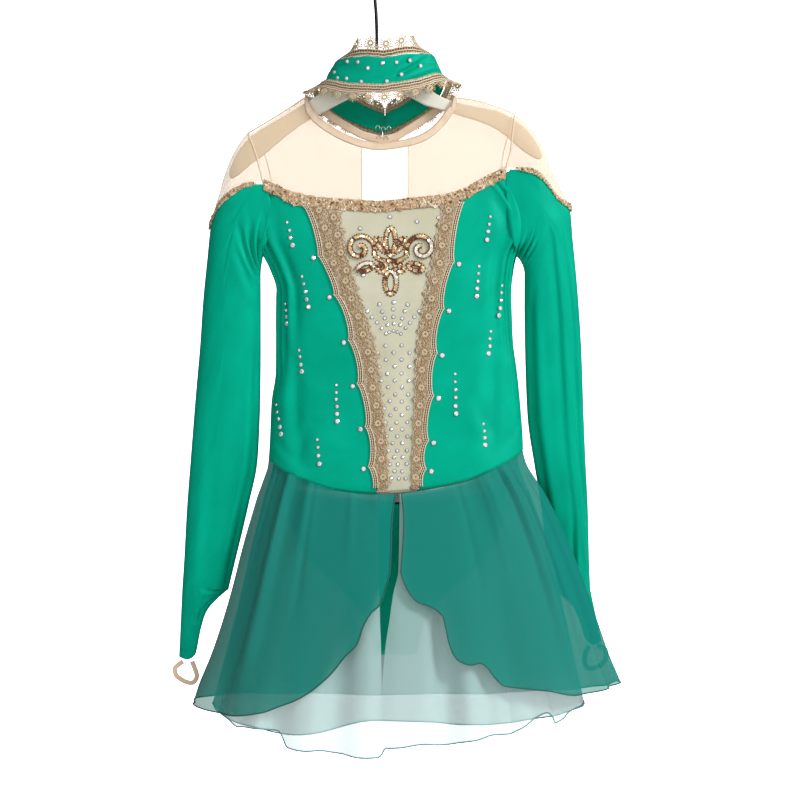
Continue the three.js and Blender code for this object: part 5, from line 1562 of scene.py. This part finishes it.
def collar_lace_cords(edge):
    pale, gold = Cords(), Cords()
    first = 1.4 if edge == "top" else -2.0
    fine = np.linspace(-COLLAR_END, COLLAR_END, 330)
    up = (0, 0, 1)
    for far in COLLAR_RAILS:
        sway = 0.35 * np.sin(np.radians(fine) * 34)
        pale.lay(collar_lace(edge, fine, far + first / 3 + sway, 0.75), 0.8, up, 5)
    for angle in even_angles(edge, 5, 3.4)[0]:
        far = np.linspace(COLLAR_RAILS[0], COLLAR_RAILS[2], 5) + first / 3
        gold.lay(collar_lace(edge, np.full(5, angle), far, 0.7), 0.6, collar_outward(angle), 4)
    # A bronze bead sits in every opening between the cords and rungs.
    beads = Stamps(bead_model())
    middles = even_angles(edge, 5, 1.7)[0]
    for row in (0, 1):
        far = (COLLAR_RAILS[row] + COLLAR_RAILS[row + 1]) / 2 + first / 3
        angles = middles[row::2]
        beads.press(collar_lace(edge, angles, far, 0.9), collar_outward(angles),
                    LADDER_BEAD)
    finish(beads.piece(f"collar_lace_{edge}_beads", smooth=True), brown_bead, "gold_lace")
    spots, degrees = even_angles(edge, STAR_FAR, STAR_PITCH)
    for angle, rate in zip(spots, degrees):
        outward = collar_outward(angle)
        for point in range(STAR_POINTS):
            way = 2 * math.pi * (point + 0.5) / STAR_POINTS
            reach = np.array([1.4, 3.6, 6.2, STAR_RADIUS * (1 if point % 2 else 0.88)])
            spoke = collar_lace(edge, angle + reach * math.cos(way) * rate,
                                STAR_FAR + reach * math.sin(way), 0.4)
            gold.lay(spoke, np.array([0.6, 0.6, 0.75, 1.0]), outward, 4)
        for radius, cord, lift in ((1.9, pale, 0.9), (3.6, pale, 0.7)):
            t = 2 * math.pi * np.arange(18) / 18
            ring = collar_lace(edge, angle + radius * np.cos(t) * rate,
                               STAR_FAR + radius * np.sin(t), lift)
            cord.lay(ring, 0.55, outward, 4, closed=True)
        for shift in (-0.5, 0.5):
            t = np.linspace(0, math.pi, 9)
            arc = collar_lace(edge, angle + (shift * STAR_PITCH + 3.2 * np.cos(t)) * rate,
                              COLLAR_RAILS[3] + 2.6 * np.sin(t), 0.4)
            pale.lay(arc, 0.5, outward, 4)
    finish(pale.piece(f"collar_lace_{edge}_pale_cord"), pale_cord, "gold_lace")
    finish(gold.piece(f"collar_lace_{edge}_gold_cord"), gold_cord, "gold_lace")
    u, v = plane(spread(150), spread(4))
    if edge == "low":
        v = 1 - v
    far = mix(0.4 if edge == "top" else -3.0, 9.6, v)
    grid = collar_lace(edge, mix(-COLLAR_END, COLLAR_END, u), far, 0.1)
    sewn(f"collar_lace_{edge}_net", grid, gold_net, "gold_lace", f"collar_lace_{edge}",
         0.5)


for edge in ("top", "low"):
    collar_lace_cords(edge)


# ---------------------------------------------------------------- seams and stitches

tape = Cords()
for side in ("left", "right"):
    # The armhole's seam allowance, bound with nude tape over the mesh.
    for face in ("front", "back"):
        top, low = SHOULDERS[side]["z"][-1], along(CHEST, "x", face, chest_end(side, face))
        z = np.linspace(low - 1, top - 1.5, 60)
        x = along(ARMHOLES[side], "z", face, z) - SIDE_TURN[side] * 0.2
        tape.lay(yoke_point(x, z, face), 0.9 if face == "front" else 0.6,
                 (0, -1 if face == "front" else 1, 0), 6)
    share = np.linspace(0, 1, 40)
    x, z = shoulder_at(side, share)
    tape.lay(np.stack([x, np.zeros(40), z + 0.2], -1), 0.9, (0, 0, 1), 6)
finish(tape.piece("armhole_seam_tape"), nude_tape, "nude_tape")

DASH = 2.2
DASH_PITCH = 3.2
CUFF_STITCHES = (0.985, 0.979)  # shares of the sleeve's length
WAIST_STITCHES = (2.2, 3.4)
CLOSURE = ((2, -214), (9, -216), (16, -215), (4, -226), (13, -227))


def stitch_row(cords, path, outward, radius=0.22):
    """Short raised stitches along a line."""
    reach = run_along(path)
    for start in np.arange(0.5, reach[-1] - DASH, DASH_PITCH):
        at = np.array([start, start + DASH / 2, start + DASH])
        spot = np.stack([np.interp(at, reach, path[:, k]) for k in range(3)], -1)
        way = unit(np.stack([np.interp(at, reach, outward[:, k]) for k in range(3)], -1))
        cords.lay(spot + way * np.array([[0.0], [0.18], [0.0]]), radius, way, 4)


green_thread, nude_thread = Cords(), Cords()
for side in ("left", "right"):
    turns = np.linspace(0, 1, 160)
    for v in CUFF_STITCHES:
        at = np.full(160, v)
        way = sleeve_outward(side, turns, at)
        stitch_row(green_thread, sleeve_point(side, turns, at) + way * (SATIN / 2 + 0.05), way)
for face in ("front", "back"):
    x = np.linspace(-128, 178, 260)
    for drop in WAIST_STITCHES:
        z = along(WAIST, "x", face, x) + drop
        s = on_face(body.turn_at(x, z), face)
        stitch_row(green_thread, body.lifted(s, z, SATIN / 2 + 0.05), body.normal(s, z))
    us = (1 - np.cos(np.linspace(0.06, 0.94, 240) * math.pi)) / 2
    line = binding_grid(face, us, np.array([0.12, 0.5, 0.88]))
    for row in (0, 2):
        way = unit(line[:, row] * np.array([0, 1, 0]))
        stitch_row(nude_thread, line[:, row] + way * (TAPE / 2 + 0.05), way)
finish(green_thread.piece("green_stitches"), thread_green, "thread")
finish(nude_thread.piece("neck_stitches"), thread_nude, "thread")

# Hooks and eyes that close the neck tape behind.
closure = Cords()
for x, z in CLOSURE:
    t = np.linspace(-0.3, math.pi + 0.3, 14)
    bent = np.stack([x + 2.4 * np.cos(t), np.zeros(14), z + 3.2 * np.sin(t)], -1)
    bent[:, 1] = body.point(2 - body.turn_at(bent[:, 0], bent[:, 2]), bent[:, 2])[:, 1] - 1.4
    closure.lay(bent, 0.45, (0, -1, 0), 5)
finish(closure.piece("neck_hooks_and_eyes"), hook_metal, "hook")


# ---------------------------------------------------------------- sequin scroll

SCROLL_X = 18.5
EYE = 0.18                    # where a spiral ends, as a share of its radius


def spiral(x, z, radius, turns, start, hand):
    """A line that winds in from its radius to the eye at (x, z), from start degrees."""
    t = np.linspace(0, 1, 26)
    reach = radius * mix(1, EYE, t)
    turn = math.radians(start) + hand * 2 * math.pi * turns * t
    return np.stack([x + reach * np.cos(turn), z + reach * np.sin(turn)], -1)


def petal(x, z, length, wide, lean, sides=2):
    """One side or both sides of a petal with its foot at (x, z), lean degrees from upright."""
    t = np.linspace(0, sides, 10 * sides)
    up, out = length * (1 - np.cos(math.pi * t)) / 2, wide * np.sin(math.pi * t)
    turn = math.radians(lean)
    return np.stack([x + up * math.sin(turn) + out * math.cos(turn),
                     z + up * math.cos(turn) - out * math.sin(turn)], -1)


# Half of the scroll, as lines of (away from its middle, height); the other half mirrors it:
# an arm that winds up, a tendril under it, leaves, a crest of three petals and a drop.
SCROLL = {
    "arm": spiral(38, -368, 19, 1.3, 200, -1),
    "stem": petal(0, -382, 21.4, 4, 69.4, sides=1),
    "tendril": spiral(12.5, -391, 9, 1.1, 90, 1),
    "leaf": petal(22, -388, 19, 4.5, 108),
    "crest": petal(0, -376, 34, 6, 0, sides=1),
    "side_petal": petal(4, -372, 22, 3.8, 40),
    "drop": petal(0, -424, 28, 7, 0, sides=1),
}
# Lines and halves whose middle stretch takes the lighter sequins: a painted highlight.
HIGHLIGHT_LINES = {("arm", 1), ("leaf", -1), ("drop", 1)}
SEQUIN_STEP = 2.5
BEAD_OFF = 2.7                # from the middle of the sequins to the beads on both sides
LACE_STEP = 2.4               # how far the scroll's ends rise where they lie on the lace


def scroll():
    sequins = {kind: Stamps(sequin_model()) for kind in ("gold", "bright", "dark")}
    beads = Stamps(bead_model())
    for name, line in SCROLL.items():
        for mirror in (-1, 1):
            line_mm = np.array([(SCROLL_X + mirror * x, z) for x, z in line])
            length = np.linalg.norm(np.diff(smooth_line(line_mm, 60), axis=0), axis=1).sum()
            spots = smooth_line(line_mm, max(4, int(length / SEQUIN_STEP)))
            count = len(spots)
            way = unit(np.gradient(spots, axis=0))
            across = np.stack([-way[:, 1], way[:, 0]], -1)
            share = np.arange(count) / count
            # Along these stretches the sequins are the lighter copy, a painted highlight.
            painted_highlight = ((name, mirror) in HIGHLIGHT_LINES) & (share > 0.45) & (share < 0.95)
            kind = np.where(painted_highlight, "bright", np.where(chance.random(count) < 0.3, "dark", "gold"))
            s = body.turn_at(spots[:, 0], spots[:, 1])
            over_lace = LACE_STEP * ease((np.abs(spots[:, 0] - SCROLL_X) - 26) / 12)
            places = body.lifted(s, spots[:, 1], SATIN / 2 + 0.7 + over_lace)
            outward = body.normal(s, spots[:, 1])
            for one, stamp in sequins.items():
                mine = kind == one
                stamp.press(places[mine], outward[mine], chance.uniform(2.0, 2.5, mine.sum()),
                            spin=chance.uniform(0, 1, mine.sum()),
                            lean=chance.uniform(0.12, 0.5, mine.sum()),
                            lean_way=chance.uniform(0, 2 * math.pi, mine.sum()))
            for off in (-BEAD_OFF, BEAD_OFF):
                rim = spots + across * off
                s = body.turn_at(rim[:, 0], rim[:, 1])
                beads.press(body.lifted(s, rim[:, 1], SATIN / 2 + 0.1 + over_lace),
                            body.normal(s, rim[:, 1]), chance.uniform(0.95, 1.25, count))
    for one, material in (("gold", gold_sequin), ("bright", painted_highlight_sequin), ("dark", brown_bead)):
        finish(sequins[one].piece(f"scroll_{one}_sequins"), material, "gold_sequin")
    finish(beads.piece("scroll_bronze_beads", smooth=True), brown_bead, "gold_sequin")


scroll()


# ---------------------------------------------------------------- stones

# Rows of stones on the satin: first place, last place, how many; they grow from first to last.
STONE_ROWS = [
    ((-109.6, -335), (-103.4, -363.5), 4), ((-91, -402), (-83.7, -440), 5),
    ((-114.5, -435), (-110.8, -460), 4), ((-94.8, -493), (-92.3, -520), 4),
    ((-123, -561), (-117, -597), 5), ((-72.5, -604), (-70, -634), 4),
    ((-49, -536.5), (-47.8, -581), 6), ((142.4, -328), (137.5, -356), 4),
    ((127.6, -389.5), (125, -426.5), 5), ((156, -413), (152.3, -450), 5),
    ((142.4, -470), (140, -497), 4), ((98, -523), (99, -572), 6),
    ((133.8, -584.6), (135, -610.6), 4),
]
SMALLEST, LARGEST = 3.8, 6.4
LOOSE_SIZE = 5.0
CUP_RIM = 0.4                 # how far a cup shows round its stone
LOOSE_STONES = [(-52.8, -326), (-19.4, -342.5), (17.6, -328), (51, -334), (78, -329),
                (-15.7, -400.6), (56, -395.6)]
EDGE_STONES = {"left": (4.8, 6.4), "right": (4.8, 6.8)}
# The figure of stones on the cream panel: a fan of rays, then a lattice that narrows downward.
FIGURE_X, FIGURE_LOW_X = 22, 28.6
FAN_FOOT = -484
FAN_LEANS = (-40, -20, 0, 20, 40)
FAN_REACHES = (14, 23, 32, 41, 50)
FAN_SIZE, FAN_GROWTH = 3.2, 1 / 32
LATTICE = {"top": -488, "low": -655, "step": 8.6, "wide": 20, "narrow": 8.5, "size": 4.2}
COLLAR_STONES = [(-43.5, 0.86), (-29, 0.8), (-16, 0.6), (-2, 0.8), (13, 0.75), (-56, 0.4),
                 (-47, 0.16), (-36, 0.2), (-20, 0.12), (4, 0.14), (18, 0.3), (28, 0.75), (40, 0.5)]


def on_creases(places):
    """Places on the smooth front, moved with the creased satin that lies under them."""
    smooth, shift = np.concatenate(pressed, axis=1)
    moved = []
    for place in places:
        away = np.linalg.norm(smooth - place, axis=1)
        near = np.argsort(away)[:4]
        weight = 1 / (away[near, None] + 0.1)
        moved.append(place + (shift[near] * weight).sum(0) / weight.sum())
    return np.array(moved)


def figure_stones():
    """Places and sizes of the figure's stones."""
    figure = []
    for lean in FAN_LEANS:
        for reach in FAN_REACHES:
            turn = math.radians(lean)
            figure.append((FIGURE_X + reach * math.sin(turn), FAN_FOOT + reach * math.cos(turn),
                           FAN_SIZE + reach * FAN_GROWTH))
    for row, z in enumerate(np.arange(LATTICE["top"], LATTICE["low"], -LATTICE["step"])):
        share = (z - LATTICE["top"]) / (LATTICE["low"] - LATTICE["top"])
        half = mix(LATTICE["wide"], LATTICE["narrow"], share)
        for across in (-1, 0, 1) if row % 2 else (-0.5, 0.5):
            x = mix(FIGURE_X, FIGURE_LOW_X, share) + half * across
            figure.append((x, z, LATTICE["size"]))
    return figure


def stones():
    stone, cup = Stamps(rhinestone_model()), Stamps(stone_cup_model())
    spots, sizes = [], []
    for first, last, count in STONE_ROWS:
        for share in np.linspace(0, 1, count):
            spots.append(mix(np.array(first), np.array(last), share)
                         + chance.uniform(-0.5, 0.5, 2))
            sizes.append(mix(SMALLEST, LARGEST, share**1.3))
    for place in LOOSE_STONES:
        spots.append(np.array(place))
        sizes.append(LOOSE_SIZE)
    for x, z, size in figure_stones():
        spots.append(np.array([x, z]) + chance.uniform(-0.5, 0.5, 2))
        sizes.append(size)
    for side, (out, size) in EDGE_STONES.items():
        for z in LACE_POINTS[side][1:-1]:
            spots.append(np.array([lace_edge(side, z) + SIDE_TURN[side] * out, z - 3]))
            sizes.append(size)
    spots, sizes = np.array(spots), np.array(sizes)
    s = body.turn_at(spots[:, 0], spots[:, 1])
    outward = body.normal(s, spots[:, 1])
    under = np.full(len(spots), SATIN / 2 + 0.05)
    lean = chance.uniform(0, 0.3, len(spots))
    lean_way = chance.uniform(0, 2 * math.pi, len(spots))
    spin = chance.uniform(0, 1, len(spots))
    cup.press(on_creases(body.lifted(s, spots[:, 1], under)), outward, sizes / 2 + CUP_RIM)
    stone.press(on_creases(body.lifted(s, spots[:, 1], under + 0.1)), outward, sizes / 2, spin,
                lean, lean_way)
    angles, shares = np.array(COLLAR_STONES).T
    on_collar = collar_point(angles, shares, 0.75)
    stone.press(on_collar, collar_outward(angles), 2.6, chance.uniform(0, 1, len(angles)),
                chance.uniform(0, 0.3, len(angles)), chance.uniform(0, 6, len(angles)))
    cup.press(on_collar - 0.05 * collar_outward(angles), collar_outward(angles), 2.9)
    finish(stone.piece("rhinestones"), cut_glass, "rhinestone")
    finish(cup.piece("rhinestone_cups"), stone_cup_painted_shade, "crystal_setting")


stones()


# ---------------------------------------------------------------- camera, light and floor

CAMERA = {"x": 30, "y": -3000, "z": -555}
FLOOR = -1660
WALL_LIGHT = 2.4              # the lit wall behind, bright enough to glow through sheer cloth
ROOM_DARK, ROOM_LIGHT = 0.06, 0.96
ROOM_SLANT = (0.3, -0.78, 0.55)      # the room is brightest this way
LENS = 108
LIGHT_AIM = (0, 0, -0.5)
# Soft lights: place in metres, power in watts, side of the square in metres.
LIGHTS = {
    "key": ((2.3, -1.7, 0.9), 60, 0.8),
    "fill": ((-1.6, -2.3, 0.3), 7, 1.4),
    "back": ((0.2, 2.0, 0.5), 14, 1.4),
}


def area_light(name, place, power, size):
    data = bpy.data.lights.new(name, "AREA")
    data.energy = power
    data.size = size
    light = bpy.data.objects.new(name, data)
    light.location = place
    toward = Vector(LIGHT_AIM) - Vector(place)
    light.rotation_euler = toward.to_track_quat("-Z", "Y").to_euler()
    bpy.context.collection.objects.link(light)


for name, (place, power, size) in LIGHTS.items():
    area_light(name, place, power, size)

bpy.ops.object.select_all(action="DESELECT")
bpy.ops.mesh.primitive_circle_add(vertices=96, radius=2.4, fill_type="NGON",
                                  location=(0, 0, FLOOR * MM))
floor = bpy.context.object
floor.name = "studio_floor"
floor.data.materials.append(floor_paint)

world = bpy.data.worlds.new("studio")
bpy.context.scene.world = world
world.use_nodes = True
world.node_tree.nodes.clear()
wall = add(world, "ShaderNodeBackground", Color=(1, 1, 1, 1), Strength=WALL_LIGHT)
way = add(world, "ShaderNodeTexCoord")
slant = add(world, "ShaderNodeVectorMath", {"operation": "DOT_PRODUCT"},
            _0=way.outputs["Generated"], _1=ROOM_SLANT)
shade = add(world, "ShaderNodeMapRange", {"interpolation_type": "SMOOTHSTEP"},
            Value=slant.outputs["Value"], From_Min=0.0, From_Max=0.95, To_Min=ROOM_DARK,
            To_Max=ROOM_LIGHT)
room = add(world, "ShaderNodeBackground", Strength=shade.outputs[0])
seen = add(world, "ShaderNodeLightPath")
mixed = add(world, "ShaderNodeMixShader", _0=seen.outputs["Is Camera Ray"], _1=room.outputs[0],
            _2=wall.outputs[0])
add(world, "ShaderNodeOutputWorld", Surface=mixed.outputs[0])

view = bpy.data.cameras.new("camera")
view.lens = LENS
view.sensor_width = 36
view.clip_end = 20
camera = bpy.data.objects.new("camera", view)
camera.location = [CAMERA[key] * MM for key in "xyz"]
camera.rotation_euler = (math.pi / 2, 0, 0)
bpy.context.collection.objects.link(camera)
bpy.context.scene.camera = camera
bpy.context.scene.view_settings.view_transform = "Standard"
